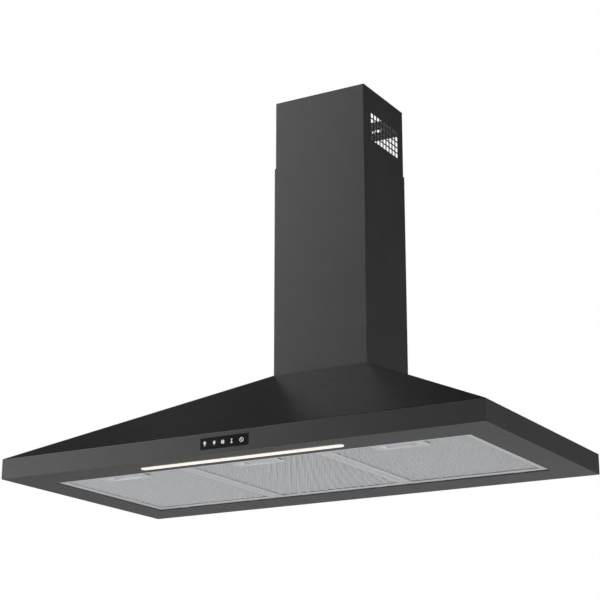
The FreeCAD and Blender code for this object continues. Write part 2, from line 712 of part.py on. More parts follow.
def scroll_block(offset, x0, x1, top):
    """The scroll and its neck as a block, with its outline moved outward by the offset."""
    steps = 16
    span = 2 * math.pi - TONGUE_ANGLE
    angles = [TONGUE_ANGLE + span * n / steps for n in range(steps + 1)]
    spiral = Part.BSplineCurve()
    spiral.interpolate([blower_point(x0, scroll_radius(a) + offset, a) for a in angles])
    rear, front = NECK_REAR + offset, NECK_FRONT - offset
    start, end = spiral.value(spiral.FirstParameter), spiral.value(spiral.LastParameter)
    corners = [end, V(x0, rear, top), V(x0, front, top), start]
    sides = [Part.LineSegment(a, b).toShape() for a, b in zip(corners, corners[1:])]
    outline = Part.Wire([spiral.toShape()] + sides)
    return Part.Face(outline).extrude(V(x1 - x0, 0, 0))


def blower_scroll():
    """Wrapped sheet of the scroll and neck, with the flange that hangs it from the top plate."""
    wrap = scroll_block(SCROLL_WALL, -NECK_X, NECK_X, NECK_TOP)
    wrap = wrap.cut(scroll_block(0, -NECK_X - CUT, NECK_X + CUT, NECK_TOP + CUT))
    front, rear = NECK_FRONT - FLANGE_Y, NECK_REAR + FLANGE_Y
    flange = box(-FLANGE_X, FLANGE_X, front, rear, NECK_TOP - GALV, NECK_TOP)
    low, high = NECK_TOP - GALV - CUT, NECK_TOP + CUT
    neck = box(-NECK_X, NECK_X, NECK_FRONT, NECK_REAR, low, high)
    nut = rod(GLAND_HEX / math.sqrt(3) + 2 * FREE, (GLAND_X, GLAND_Y, low), (GLAND_X, GLAND_Y, high))
    holes = [rod(SCREW_HOLE, (x, y, low), (x, y, high)) for x, y in duct_screws()]
    return join(wrap, carve(flange, neck, nut, *holes))


def blower_side(side):
    """Side plate with its inlet and the lip that reaches into the eye of the impeller."""
    inner, outer = side * (NECK_X + SEAM), side * SIDE_X
    x0, x1 = sorted((inner, outer))
    plate = scroll_block(SCROLL_WALL + PLATE_EDGE, x0, x1, NECK_TOP - GALV - SEAM)
    axis = (BLOWER_Y, BLOWER_Z)
    lip = pipe(INLET_R + GALV, INLET_R, (outer, *axis), (inner - side * INLET_LIP, *axis))
    eye = rod(INLET_R, (inner - side * CUT, *axis), (outer + side * CUT, *axis))
    return join(carve(plate, eye), lip)


def inlet_guard():
    """Moulded guard over the right inlet: three rings on four ribs with feet on the side plate."""
    foot, x0 = SIDE_X + SEAM, SIDE_X + GUARD_OUT
    x1 = x0 + GUARD_T
    half = GUARD_RIB / 2
    pieces = [pipe(r + half, r - half, on_axis(x0), on_axis(x1)) for r in GUARD_RINGS]
    pieces.append(rod(3 * half, on_axis(x0), on_axis(x1)))
    for n in range(4):
        rib = join(
            box(x0, x1, 0, GUARD_FOOT_R, -half, half),
            box(foot, x1, GUARD_FOOT_R - 2 * half, GUARD_FOOT_R + 2 * half, -3 * half, 3 * half),
        )
        rib.rotate(V(0, 0, 0), V(1, 0, 0), 45 + 90 * n)
        rib.translate(V(*on_axis(0)))
        pieces.append(rib)
    return join(*pieces)


def blade(turn):
    """One forward-curved blade: a thin strip between two arcs, run along X."""
    inner, outer = BLADE_R
    inner, outer = inner + RIM_T / 2, outer - RIM_T / 2
    middle = (inner + outer) / 2
    bow, tip = BLADE_SWEEP

    def edge(lag):
        return [blower_point(-IMPELLER_X, r, turn + a + lag / r)
                for r, a in ((inner, 0), (middle, bow), (outer, tip))]

    one, two = edge(0), edge(BLADE_T)
    outline = Part.Wire([
        Part.Arc(*one).toShape(),
        Part.LineSegment(one[2], two[2]).toShape(),
        Part.Arc(*reversed(two)).toShape(),
        Part.LineSegment(two[0], one[0]).toShape(),
    ])
    return Part.Face(outline).extrude(V(2 * IMPELLER_X, 0, 0))


def impeller():
    """Double-inlet wheel: blades between two rims and a middle disc with its hub."""
    axis = (BLOWER_Y, BLOWER_Z)
    inner, outer = BLADE_R
    blades = [blade(2 * math.pi * n / BLADES) for n in range(BLADES)]
    rims = [pipe(outer, inner, (x, *axis), (x + RIM_T, *axis)) for x in (-IMPELLER_X, IMPELLER_X - RIM_T)]
    disc = rod(outer - RIM_T / 2, (DISC_X[0], *axis), (DISC_X[1], *axis))
    hub = rod(HUB_R, (DISC_X[0], *axis), (HUB_END, *axis))
    bore = rod(SHAFT_R, (DISC_X[0] - CUT, *axis), (HUB_END + CUT, *axis))
    return carve(join(disc, hub, *rims, *blades), bore)


def on_axis(x):
    """Point of the blower's axis at x."""
    return (x, BLOWER_Y, BLOWER_Z)


def motor_shaft():
    """Shaft through both bearings, the rotor and the impeller's hub."""
    return rod(SHAFT_R, on_axis(SHAFT_X[0]), on_axis(SHAFT_X[1]))


def impeller_nut():
    """Nut that holds the impeller on the shaft."""
    start = HUB_END + SEAM
    nut = hexagon(0, 0, 0, SHAFT_X[1] - SHAFT_PROUD - start, NUT_AF)
    nut.rotate(V(0, 0, 0), V(0, 1, 0), 90)
    nut.translate(V(*on_axis(start)))
    return carve(nut, motor_shaft())


def motor_rotor():
    """Cage rotor pressed on the shaft, with a short-circuit ring at each end."""
    x0, x1 = STATOR_X
    radius, over = ROTOR_RING
    core = rod(ROTOR_R, on_axis(x0), on_axis(x1))
    return carve(join(core, rod(radius, on_axis(x0 - over), on_axis(x1 + over))), motor_shaft())


def coil_places(x):
    """Middle of each winding slot at x."""
    return [blower_point(x, COIL_PITCH_R, 2 * math.pi * n / COIL_SLOTS) for n in range(COIL_SLOTS)]


def motor_stator():
    """Lamination ring with a round slot for each winding bundle."""
    x0, x1 = STATOR_X
    ring = pipe(STATOR_R[1], STATOR_R[0], on_axis(x0), on_axis(x1))
    slots = [rod(COIL_R + SEAM, (x0 - CUT, p.y, p.z), (x1 + CUT, p.y, p.z)) for p in coil_places(x0)]
    return carve(ring, *slots)


def motor_windings():
    """Copper bundles through the slots, gathered into a ring at each end."""
    x0, x1 = STATOR_X
    inner, outer, length = COIL_RING
    ends = [
        pipe(outer, inner, on_axis(x0 - length), on_axis(x0 - SEAM)),
        pipe(outer, inner, on_axis(x1 + SEAM), on_axis(x1 + length)),
    ]
    bars = [rod(COIL_R, (x0 - CUT, p.y, p.z), (x1 + CUT, p.y, p.z)) for p in coil_places(x0)]
    return join(*ends, *bars)


def end_bell(open_x, closed_x):
    """Motor cover: a vented cup with a seat for the bearing."""
    way = 1 if closed_x > open_x else -1
    cup = rod(BELL_R, on_axis(open_x), on_axis(closed_x))
    hollow = rod(BELL_R - BELL_WALL, on_axis(open_x - way * CUT), on_axis(closed_x - way * BELL_WALL))
    seat_start, seat_end = closed_x - way * (BELL_WALL + BEARING_T), closed_x - way * BELL_WALL / 2
    seat = pipe(BEARING_R + BELL_WALL, BEARING_R + BEARING_FIT, on_axis(seat_start), on_axis(seat_end))
    inside, outside = closed_x - way * 2 * BELL_WALL, closed_x + way * CUT
    hole = rod(SHAFT_R + BELL_HOLE, on_axis(inside), on_axis(outside))
    count, ring, radius = BELL_VENTS
    places = [blower_point(closed_x, ring, math.pi * (2 * n + 1) / count) for n in range(count)]
    vents = [rod(radius, (inside, p.y, p.z), (outside, p.y, p.z)) for p in places]
    return carve(join(carve(cup, hollow), seat), hole, *vents)


def motor_end_bells():
    """Outer and inner motor cover, one at each end of the stator."""
    x0, x1 = STATOR_X
    return [end_bell(x0 - SEAM, x0 - BELL_LEN), end_bell(x1 + SEAM, x1 + BELL_LEN)]


def motor_bearings():
    """Two bearings in the end bells, with running clearance on the shaft."""
    x0 = STATOR_X[0] - BELL_LEN + BELL_WALL
    x1 = STATOR_X[1] + BELL_LEN - BELL_WALL - BEARING_T
    return [pipe(BEARING_R, SHAFT_R + RUNNING, on_axis(x), on_axis(x + BEARING_T)) for x in (x0, x1)]


def spider_angles():
    """The three arms of the motor bracket."""
    return [math.radians(90 + 120 * n) for n in range(3)]


def motor_bracket():
    """Three arms from the inlet's edge to the motor, with feet on the left side plate."""
    face = STATOR_X[0] - BELL_LEN - 2 * SEAM - GROMMET_T
    inner, outer = SPIDER_R
    hub = pipe(inner + SPIDER_ARM, SHAFT_R + SPIDER_HOLE, on_axis(face - SPIDER_T), on_axis(face))
    foot_x = -SIDE_X - SEAM
    half = SPIDER_ARM / 2
    pieces = [hub]
    for angle in spider_angles():
        arm = box(face - SPIDER_T, face, inner, outer, -half, half)
        leg = box(face - SPIDER_T, foot_x, outer - SPIDER_T, outer, -half, half)
        foot = box(foot_x - SPIDER_T, foot_x, outer - SPIDER_T, outer + SPIDER_FOOT, -half, half)
        whole = join(arm, leg, foot)
        whole.rotate(V(0, 0, 0), V(1, 0, 0), math.degrees(angle))
        whole.translate(V(0, BLOWER_Y, BLOWER_Z))
        pieces.append(whole)
    return join(*pieces)


def motor_grommets():
    """Rubber discs between the bracket's arms and the motor."""
    x = STATOR_X[0] - BELL_LEN - SEAM
    places = [blower_point(x, (BELL_R + COIL_RING[0]) / 2, a) for a in spider_angles()]
    return [rod(GROMMET_R, (x - GROMMET_T, p.y, p.z), (x, p.y, p.z)) for p in places]


# ---- Electric parts ----


def control_box_form(inset, front, back):
    """The control box as a block from front to back, drawn in by the inset on its other sides."""
    wide, _, tall = BOX_SIZE
    x0, x1 = BOX_RIGHT - wide + inset, BOX_RIGHT - inset
    return box(x0, x1, front, back, BOX_Z + inset, BOX_Z + tall - inset)


def post_places():
    """Board posts of the control box, as (x, z)."""
    wide, _, tall = BOX_SIZE
    xs = (BOX_RIGHT - wide + POST_INSET, BOX_RIGHT - POST_INSET)
    return [(x, z) for x in xs for z in (BOX_Z + POST_INSET, BOX_Z + tall - POST_INSET)]


def control_box():
    """Tray on the back panel, open to the front, with posts for the board."""
    front, floor = BACK_FACE - BOX_SIZE[1], BACK_FACE - BOX_WALL
    shell = control_box_form(0, front, BACK_FACE)
    hollow = control_box_form(BOX_WALL, front - CUT, floor)
    posts = [rod(POST_R, (x, floor + BOX_WALL / 2, z), (x, floor - POST_LEN, z)) for x, z in post_places()]
    return join(carve(shell, hollow), *posts)


def control_box_lid():
    """Lid with a rim that drops into the tray."""
    front = BACK_FACE - BOX_SIZE[1] - SEAM
    plate = control_box_form(0, front - LID_T, front)
    inset = BOX_WALL + FREE
    rim = control_box_form(inset, front - LID_T / 2, front + LID_RIM)
    hollow = control_box_form(inset + LID_T, front, front + LID_RIM + CUT)
    return join(plate, carve(rim, hollow))


def power_board():
    """Circuit board with its relays, transformer and terminals."""
    back = BACK_FACE - BOX_WALL - POST_LEN - SEAM
    face = back - BOARD_T
    left = BOX_RIGHT - BOX_SIZE[0] + BOARD_INSET

    def mounted(size, x, z):
        wide, deep, tall = size
        return box(x, x + wide, face - deep, face + SEAM, z, z + tall)

    first, pitch = RELAY_X
    across, up = TRANSFORMER_AT
    parts = [mounted(TRANSFORMER, left + across, BOX_Z + up)]
    for n in range(RELAYS):
        x = left + first + n * pitch
        parts.append(mounted(RELAY, x, BOX_Z + RELAY_Z))
        parts.append(mounted(TERMINAL, x, BOX_Z + TERMINAL_Z))
    return join(control_box_form(BOARD_INSET, face, back), *parts)


def led_driver():
    """Closed supply for the light bar, left of the control box."""
    wide, deep, tall = DRIVER_SIZE
    x1, front = BOX_RIGHT - BOX_SIZE[0] - DRIVER_GAP, BACK_FACE - deep
    case = box(x1 - wide, x1, front, BACK_FACE, DRIVER_Z, DRIVER_Z + tall)
    return case.makeFillet(CASE_ROUND, [e for e in case.Edges if e.BoundBox.YMax < front + SEAM])


def capacitor_y():
    """Axis of the capacitor, from the wall."""
    return BACK_FACE - CLIP_T - FREE - CAPACITOR_R - CLIP_STAND


def run_capacitor():
    """Round capacitor lying along the back panel."""
    y, z = capacitor_y(), CAPACITOR_Z
    can = rod(CAPACITOR_R, (CAPACITOR_X, y, z), (CAPACITOR_X + CAPACITOR_LEN, y, z))
    step, length = CAPACITOR_END
    end = rod(CAPACITOR_R - step, (CAPACITOR_X - length, y, z), (CAPACITOR_X + CUT, y, z))
    long, thick, tall = CAPACITOR_TAG
    x1 = CAPACITOR_X - length + CUT
    tags = [
        box(x1 - long, x1, y + side - thick / 2, y + side + thick / 2, z - tall / 2, z + tall / 2)
        for side in (-CAPACITOR_TAG_Y, CAPACITOR_TAG_Y)
    ]
    return join(can.makeFillet(CASE_ROUND, can.Edges[:1]), end, *tags)


def capacitor_clip():
    """Strap round the capacitor, with a foot above and below it against the back panel."""
    y, z = capacitor_y(), CAPACITOR_Z
    x = CAPACITOR_X + CAPACITOR_LEN / 2
    x0, x1 = x - CLIP_W / 2, x + CLIP_W / 2
    inner = CAPACITOR_R + SEAM
    outer = inner + CLIP_T
    strap = rod(outer, (x0, y, z), (x1, y, z))
    reach = outer + CLIP_FOOT
    foot = box(x0, x1, BACK_FACE - CLIP_T, BACK_FACE, z - reach, z + reach)
    rise, into = CLIP_NECK
    neck = box(x0, x1, y + outer - into, BACK_FACE, z - rise, z + rise)
    return carve(join(strap, foot, neck), rod(inner, (x0 - CUT, y, z), (x1 + CUT, y, z)))


# ---- Light bar ----


def led_profile():
    """Aluminium channel on the rim, open below over the light slot."""
    length, width = LIGHT_LEN + 2 * FREE, LIGHT_W + 2 * FREE
    low, high, wall = SHEET + SEAM, SHEET + SEAM + PROFILE_H, PROFILE_WALL
    bar = stadium(0, LIGHT_Y, length + 2 * wall, width + 2 * wall, low, high)
    return carve(bar, stadium(0, LIGHT_Y, length, width, low - CUT, high - wall))


def led_board():
    """Narrow board under the channel's roof, with a row of light chips."""
    top = SHEET + PROFILE_H - PROFILE_WALL
    low = top - BOARD_T
    half_x, half_y = LIGHT_LEN / 2 - LIGHT_W / 2, LIGHT_W / 2 - LED_BOARD_EDGE
    pieces = [box(-half_x, half_x, LIGHT_Y - half_y, LIGHT_Y + half_y, low, top)]
    long, wide, thick = CHIP
    y0, y1 = LIGHT_Y - wide / 2, LIGHT_Y + wide / 2
    pitch = (2 * half_x - 2 * long) / (LIGHT_CHIPS - 1)
    for n in range(LIGHT_CHIPS):
        x = -half_x + long + n * pitch
        pieces.append(box(x - long / 2, x + long / 2, y0, y1, low - thick, low + SEAM))
    return join(*pieces)


def led_diffuser():
    """Opal cover in the light slot, a little proud of the rim and rounded along its lower edge."""
    cover = stadium(0, LIGHT_Y, LIGHT_LEN, LIGHT_W, -DIFFUSER_PROUD, DIFFUSER_T - DIFFUSER_PROUD)
    edge = [e for e in cover.Edges if e.BoundBox.ZMax < SEAM - DIFFUSER_PROUD]
    return cover.makeFillet(DIFFUSER_ROUND, edge)


# ---- Touch panel ----


def control_glass():
    """Glass of the touch panel, a hair behind the fascia's face."""
    wide, thick, tall = GLASS
    front = -DEPTH + GLASS_BACK
    return box(-wide / 2, wide / 2, front, front + thick, GLASS_Z, GLASS_Z + tall)


def touch_holder():
    """Plastic tray behind the fascia that carries the glass and the board."""
    wide, thick, tall = GLASS
    front = -DEPTH + SHEET + SEAM
    half = wide / 2 + HOLDER_WALL
    low, high = GLASS_Z - HOLDER_WALL, GLASS_Z + tall + HOLDER_WALL
    tray = box(-half, half, front, front + HOLDER_DEPTH, low, high)
    half = wide / 2 + FREE
    back = -DEPTH + GLASS_BACK + thick + SEAM
    seat = box(-half, half, front - CUT, back, GLASS_Z - FREE, GLASS_Z + tall + FREE)
    half = TOUCH_BOARD[0] / 2 + FREE
    middle = GLASS_Z + tall / 2
    rise = TOUCH_BOARD[2] / 2 + FREE
    pocket = box(-half, half, front - CUT, front + HOLDER_DEPTH - HOLDER_FLOOR, middle - rise, middle + rise)
    return carve(tray, seat, pocket)


def touch_board():
    """Sensing board with a contact pad behind each symbol."""
    wide, thick, tall = TOUCH_BOARD
    middle = GLASS_Z + GLASS[2] / 2
    back = -DEPTH + SHEET + HOLDER_DEPTH - HOLDER_FLOOR
    board = box(-wide / 2, wide / 2, back - thick, back, middle - tall / 2, middle + tall / 2)
    face = -DEPTH + GLASS_BACK + GLASS[1] + SEAM
    pads = [rod(TOUCH_PAD_R, (x, face, middle), (x, back - thick / 2, middle)) for x in SYMBOLS_X]
    return join(board, *pads)


# ---- Filters ----


def bolt_bore(x, radius, y0, y1):
    """Round hole or bar on a latch bolt's line."""
    return rod(radius, (x, y0, bolt_height()), (x, y1, bolt_height()))


def filter_frame(x):
    """Channel rail round a filter, with two tongues behind and the bolt's hole in front."""
    x0, x1 = x - FILTER_W / 2, x + FILTER_W / 2
    y0, y1, z0, z1 = FILTER_FRONT, FILTER_REAR, FILTER_LIFT, FILTER_TOP
    rail = box(x0, x1, y0, y1, z0, z1)
    window = box(x0 + RAIL_W, x1 - RAIL_W, y0 + RAIL_W, y1 - RAIL_W, z0 - CUT, z1 + CUT)
    groove = box(x0 + RAIL_T, x1 - RAIL_T, y0 + RAIL_T, y1 - RAIL_T, z0 + RAIL_T, z1 - RAIL_T)
    wide, thick, long = TONGUE
    tongues = [
        box(cx - wide / 2, cx + wide / 2, y1 - RAIL_T / 2, y1 + long, z0, z0 + thick)
        for cx in (x - TONGUE_X, x + TONGUE_X)
    ]
    frame = carve(rail, window, groove)
    hole = bolt_bore(x, BOLT_R + BOLT_HOLE, y0 - CUT, y0 + RAIL_T + CUT)
    half, rear = CUP[0] / 2 + FREE, y0 + CUP_FRONT + CUP[1] + FREE
    cup = box(x - half, x + half, y0 + CUP_FRONT - FREE, rear, z0 - CUT, z1 - RAIL_T)
    return carve(join(frame, *tongues), hole, cup)


def mesh_layers(x):
    """Lower sheet, pleated layer and upper sheet inside the rail, cut away round the latch."""
    inset = RAIL_T + FREE
    x0, x1 = x - FILTER_W / 2 + inset, x + FILTER_W / 2 - inset
    y0, y1 = FILTER_FRONT + inset, FILTER_REAR - inset
    low, high = FILTER_LIFT + RAIL_T + SEAM, FILTER_TOP - RAIL_T - SEAM
    half, rear = CUP[0] / 2 + CUP_ROOM, FILTER_FRONT + CUP_FRONT + CUP[1] + CUP_ROOM
    notch = box(x - half, x + half, y0 - CUT, rear, low - CUT, high + CUT)
    lower = box(x0, x1, y0, y1, low, low + MESH_T)
    upper = box(x0, x1, y0, y1, high - MESH_T, high)
    valley, ridge = low + MESH_T + SEAM, high - MESH_T - SEAM - PLEAT_T
    step = (y1 - y0) / (2 * PLEATS)
    line = [(y0 + n * step, ridge if n % 2 else valley) for n in range(2 * PLEATS + 1)]
    outline = [(x0, y, z) for y, z in line] + [(x0, y, z + PLEAT_T) for y, z in reversed(line)]
    pleated = prism(outline, (x1 - x0, 0, 0))
    return [carve(layer, notch) for layer in (lower, pleated, upper)]


def filter_handle(x):
    """Pull plate under the front of a filter, with the finger cup that holds the latch."""
    wide, deep, thick = PLATE
    top = FILTER_LIFT - SEAM
    low = top - thick
    plate = box(x - wide / 2, x + wide / 2, FILTER_FRONT, FILTER_FRONT + deep, low, top)
    corners = [e for e in plate.Edges if abs(e.BoundBox.ZLength - thick) < SEAM / 2]
    long, across = CUP
    roof = FILTER_TOP - RAIL_T - CUP_UNDER
    x0, x1 = x - long / 2, x + long / 2
    y0, y1 = FILTER_FRONT + CUP_FRONT, FILTER_FRONT + CUP_FRONT + across
    cup = box(x0, x1, y0, y1, low, roof)
    hollow = box(x0 + SHEET, x1 - SHEET, y0 + SHEET, y1 - SHEET, low - CUT, roof - SHEET)
    hole = bolt_bore(x, BOLT_R + BOLT_HOLE, y0 - CUT, y0 + SHEET + CUT)
    return carve(join(plate.makeFillet(PLATE_CORNER, corners), cup), hollow, hole)


def filter_latch(x):
    """Sprung bolt with a collar for the spring and a thumb tab in the cup."""
    tip = FILTER_FRONT - BOLT_OUT
    behind, below = TAB_PLACE
    tab_y = FILTER_FRONT + CUP_FRONT + SHEET + behind
    radius, thick = COLLAR
    bolt = bolt_bore(x, BOLT_R, tip, tab_y + BOLT_TAB[1] / 2)
    nose = [e for e in bolt.Edges if e.BoundBox.YMax < tip + SEAM]
    start = FILTER_FRONT + RAIL_T + FREE
    wide, tab_t, tall = BOLT_TAB
    z = bolt_height() - below
    tab = box(x - wide / 2, x + wide / 2, tab_y, tab_y + tab_t, z - tall / 2, z + tall / 2)
    return join(bolt.makeChamfer(BOLT_NOSE, nose), bolt_bore(x, radius, start, start + thick), tab)


def latch_spring(x):
    """Compression spring between the latch's collar and the cup."""
    start = FILTER_FRONT + RAIL_T + FREE + COLLAR[1] + SPRING_WIRE + SEAM
    end = FILTER_FRONT + CUP_FRONT - SPRING_WIRE - SEAM
    coil = Part.makeHelix((end - start) / SPRING_TURNS, end - start, SPRING_R)
    section = Part.Wire(Part.Circle(V(SPRING_R, 0, 0), V(0, 1, 0), SPRING_WIRE).toShape())
    spring = Part.Wire(coil.Edges).makePipeShell([section], True, False).Solids[0]
    spring.rotate(V(0, 0, 0), V(1, 0, 0), -90)
    spring.translate(V(x, start, bolt_height()))
    return spring


# ---- Leads inside the canopy ----


def motor_lead():
    """From the control box to the motor's outer end bell."""
    start = (BOX_RIGHT, BACK_FACE - 45, BOX_Z + 40)
    end = blower_point(STATOR_X[0] - BELL_LEN - SEAM, 30, 0)
    mid_x = (start[0] + end.x) / 2
    route = [start, (mid_x, start[1], start[2]), (mid_x, end.y, end.z), tuple(end)]
    return cable("motor_lead", route, LEAD_R)


def light_lead():
    """From the light driver round the left margin of the rim to the end of the light bar."""
    x0 = BOX_RIGHT - BOX_SIZE[0] - DRIVER_GAP - DRIVER_SIZE[0]
    lane = -(OPEN_X + SHEET + LIGHT_LANE)
    bed = SHEET + SEAM + LEAD_R
    exit_y, exit_z = BACK_FACE - 16, DRIVER_Z + 10
    end = -(LIGHT_LEN / 2 + FREE + PROFILE_WALL + SEAM)
    route = [
        (x0, exit_y, exit_z),
        ((x0 + lane) / 2, exit_y, exit_z),
        (lane, exit_y - 15, bed),
        (lane, LIGHT_Y + 20, bed),
        (lane + 20, LIGHT_Y, bed),
        (end, LIGHT_Y, bed),
    ]
    return cable("light_lead", route, LEAD_R)


def panel_lead():
    """From the control box round the left margin of the rim to the touch holder."""
    x0 = BOX_RIGHT - BOX_SIZE[0]
    lane = -(OPEN_X + SHEET + PANEL_LANE)
    front = -DEPTH + FASCIA_LIP + 6
    bed = SHEET + SEAM + PANEL_LEAD_R
    holder = -(GLASS[0] / 2 + HOLDER_WALL + SEAM)
    end_y, end_z = -DEPTH + SHEET + SEAM + HOLDER_DEPTH / 2 + 1, GLASS_Z + 6
    route = [
        (x0, BACK_FACE - 40, BOX_Z + 30),
        ((x0 + lane) / 2, BACK_FACE - 40, BOX_Z + 30),
        (lane, BACK_FACE - 50, bed),
        (lane, front + 25, bed),
        (lane + 25, front, bed),
        (holder - 60, front, bed),
        (holder - 20, end_y, end_z),
        (holder, end_y, end_z),
    ]
    return cable("panel_lead", route, PANEL_LEAD_R)


def all_nodes():
    """Every sub-part by name; identical fasteners and paired pieces share a name."""
    front_flap, rear_flap = flaps()
    nodes = {
        "canopy_shell": canopy_shell(),
        "top_plate": top_plate(),
        "front_fascia": front_fascia(),
        "bottom_frame": bottom_frame(),
        "back_panel": back_panel(),
        "lower_chimney": lower_chimney(),
        "chimney_screws": chimney_screws(),
        "upper_chimney": upper_chimney(),
        "chimney_bracket": chimney_bracket(),
        "bracket_screws": bracket_screws(),
        "outlet_collar": outlet_collar(),
        "blower_screws": blower_screws(),
        "flap_pin": flap_pin(),
        "flap_front": front_flap,
        "flap_rear": rear_flap,
        "cable_gland": cable_gland(),
        "blower_scroll": blower_scroll(),
        "blower_side_left": blower_side(-1),
        "blower_side_right": blower_side(1),
        "inlet_guard": inlet_guard(),
        "impeller": impeller(),
        "impeller_nut": impeller_nut(),
        "motor_shaft": motor_shaft(),
        "motor_rotor": motor_rotor(),
        "motor_stator": motor_stator(),
        "motor_windings": motor_windings(),
        "motor_end_bells": motor_end_bells(),
        "motor_bearings": motor_bearings(),
        "motor_bracket": motor_bracket(),
        "motor_grommets": motor_grommets(),
        "control_box": control_box(),
        "control_box_lid": control_box_lid(),
        "power_board": power_board(),
        "led_driver": led_driver(),
        "run_capacitor": run_capacitor(),
        "capacitor_clip": capacitor_clip(),
        "led_profile": led_profile(),
        "led_board": led_board(),
        "led_diffuser": led_diffuser(),
        "control_glass": control_glass(),
        "touch_holder": touch_holder(),
        "touch_board": touch_board(),
        "motor_lead": motor_lead(),
        "light_lead": light_lead(),
        "panel_lead": panel_lead(),
    }
    for name, x in zip(FILTERS, filter_centers()):
        nodes["filter_frame_" + name] = filter_frame(x)
        nodes["filter_mesh_" + name] = mesh_layers(x)
        nodes["filter_handle_" + name] = filter_handle(x)
        nodes["filter_latch_" + name] = filter_latch(x)
        nodes["latch_spring_" + name] = latch_spring(x)
    return nodes


os.makedirs("parts", exist_ok=True)
for node, shape in all_nodes().items():
    whole = Part.makeCompound(shape) if isinstance(shape, list) else shape
    if not whole.isValid():
        raise ValueError(node + " isn't a sound solid")
    whole.exportStep("parts/" + node + ".step")
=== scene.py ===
"""Wall-mounted chimney hood: finishes, filter mesh, latch springs, panel symbols, studio, camera.

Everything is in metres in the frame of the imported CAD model: X to the right, Y into the wall, Z up.
"""

import json
import math

import bpy
import numpy as np
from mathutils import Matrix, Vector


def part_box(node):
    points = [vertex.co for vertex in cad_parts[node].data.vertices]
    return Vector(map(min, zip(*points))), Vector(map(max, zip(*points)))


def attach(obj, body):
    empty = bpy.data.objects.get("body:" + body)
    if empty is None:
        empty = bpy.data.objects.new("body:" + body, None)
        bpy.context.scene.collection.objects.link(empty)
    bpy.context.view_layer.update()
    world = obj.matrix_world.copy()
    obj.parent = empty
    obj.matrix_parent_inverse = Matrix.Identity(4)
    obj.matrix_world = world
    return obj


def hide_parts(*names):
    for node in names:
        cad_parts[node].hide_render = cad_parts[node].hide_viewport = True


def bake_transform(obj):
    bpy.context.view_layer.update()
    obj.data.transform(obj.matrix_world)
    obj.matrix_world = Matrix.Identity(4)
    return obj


MM = 0.001

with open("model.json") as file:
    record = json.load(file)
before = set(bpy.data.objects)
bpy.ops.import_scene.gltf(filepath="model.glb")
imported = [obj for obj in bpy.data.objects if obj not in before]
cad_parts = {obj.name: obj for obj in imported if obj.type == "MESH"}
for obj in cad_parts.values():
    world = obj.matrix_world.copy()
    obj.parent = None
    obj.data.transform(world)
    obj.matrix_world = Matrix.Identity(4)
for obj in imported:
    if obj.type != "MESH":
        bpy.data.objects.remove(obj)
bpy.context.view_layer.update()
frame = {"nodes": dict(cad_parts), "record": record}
nodes = frame["nodes"]

FILTERS = ("left", "center", "right")


# ---- Working out finishes ----


class Shading:
    """The nodes of a material or a world, and short ways to add to them."""

    def __init__(self, owner):
        owner.use_nodes = True
        self.tree = owner.node_tree
        self.tree.nodes.clear()

    def node(self, kind, inputs=(), **settings):
        """A node with its settings, and its inputs given as (name or number, value or socket)."""
        made = self.tree.nodes.new(kind)
        for name, value in settings.items():
            setattr(made, name, value)
        for socket, value in inputs:
            if isinstance(value, bpy.types.NodeSocket):
                self.tree.links.new(value, made.inputs[socket])
            else:
                made.inputs[socket].default_value = value
        return made

    def between(self, pattern, low, high, start=0.3, end=0.7):
        """The pattern's values from start to end turned into a number from low to high."""
        inputs = [("Value", pattern), ("From Min", start), ("From Max", end)]
        inputs += [("To Min", low), ("To Max", high)]
        return self.node("ShaderNodeMapRange", inputs).outputs["Result"]

    def product(self, first, second):
        """Two numbers multiplied."""
        inputs = [(0, first), (1, second)]
        return self.node("ShaderNodeMath", inputs, operation="MULTIPLY").outputs["Value"]

    def larger(self, first, second):
        """The larger of two numbers."""
        inputs = [(0, first), (1, second)]
        return self.node("ShaderNodeMath", inputs, operation="MAXIMUM").outputs["Value"]


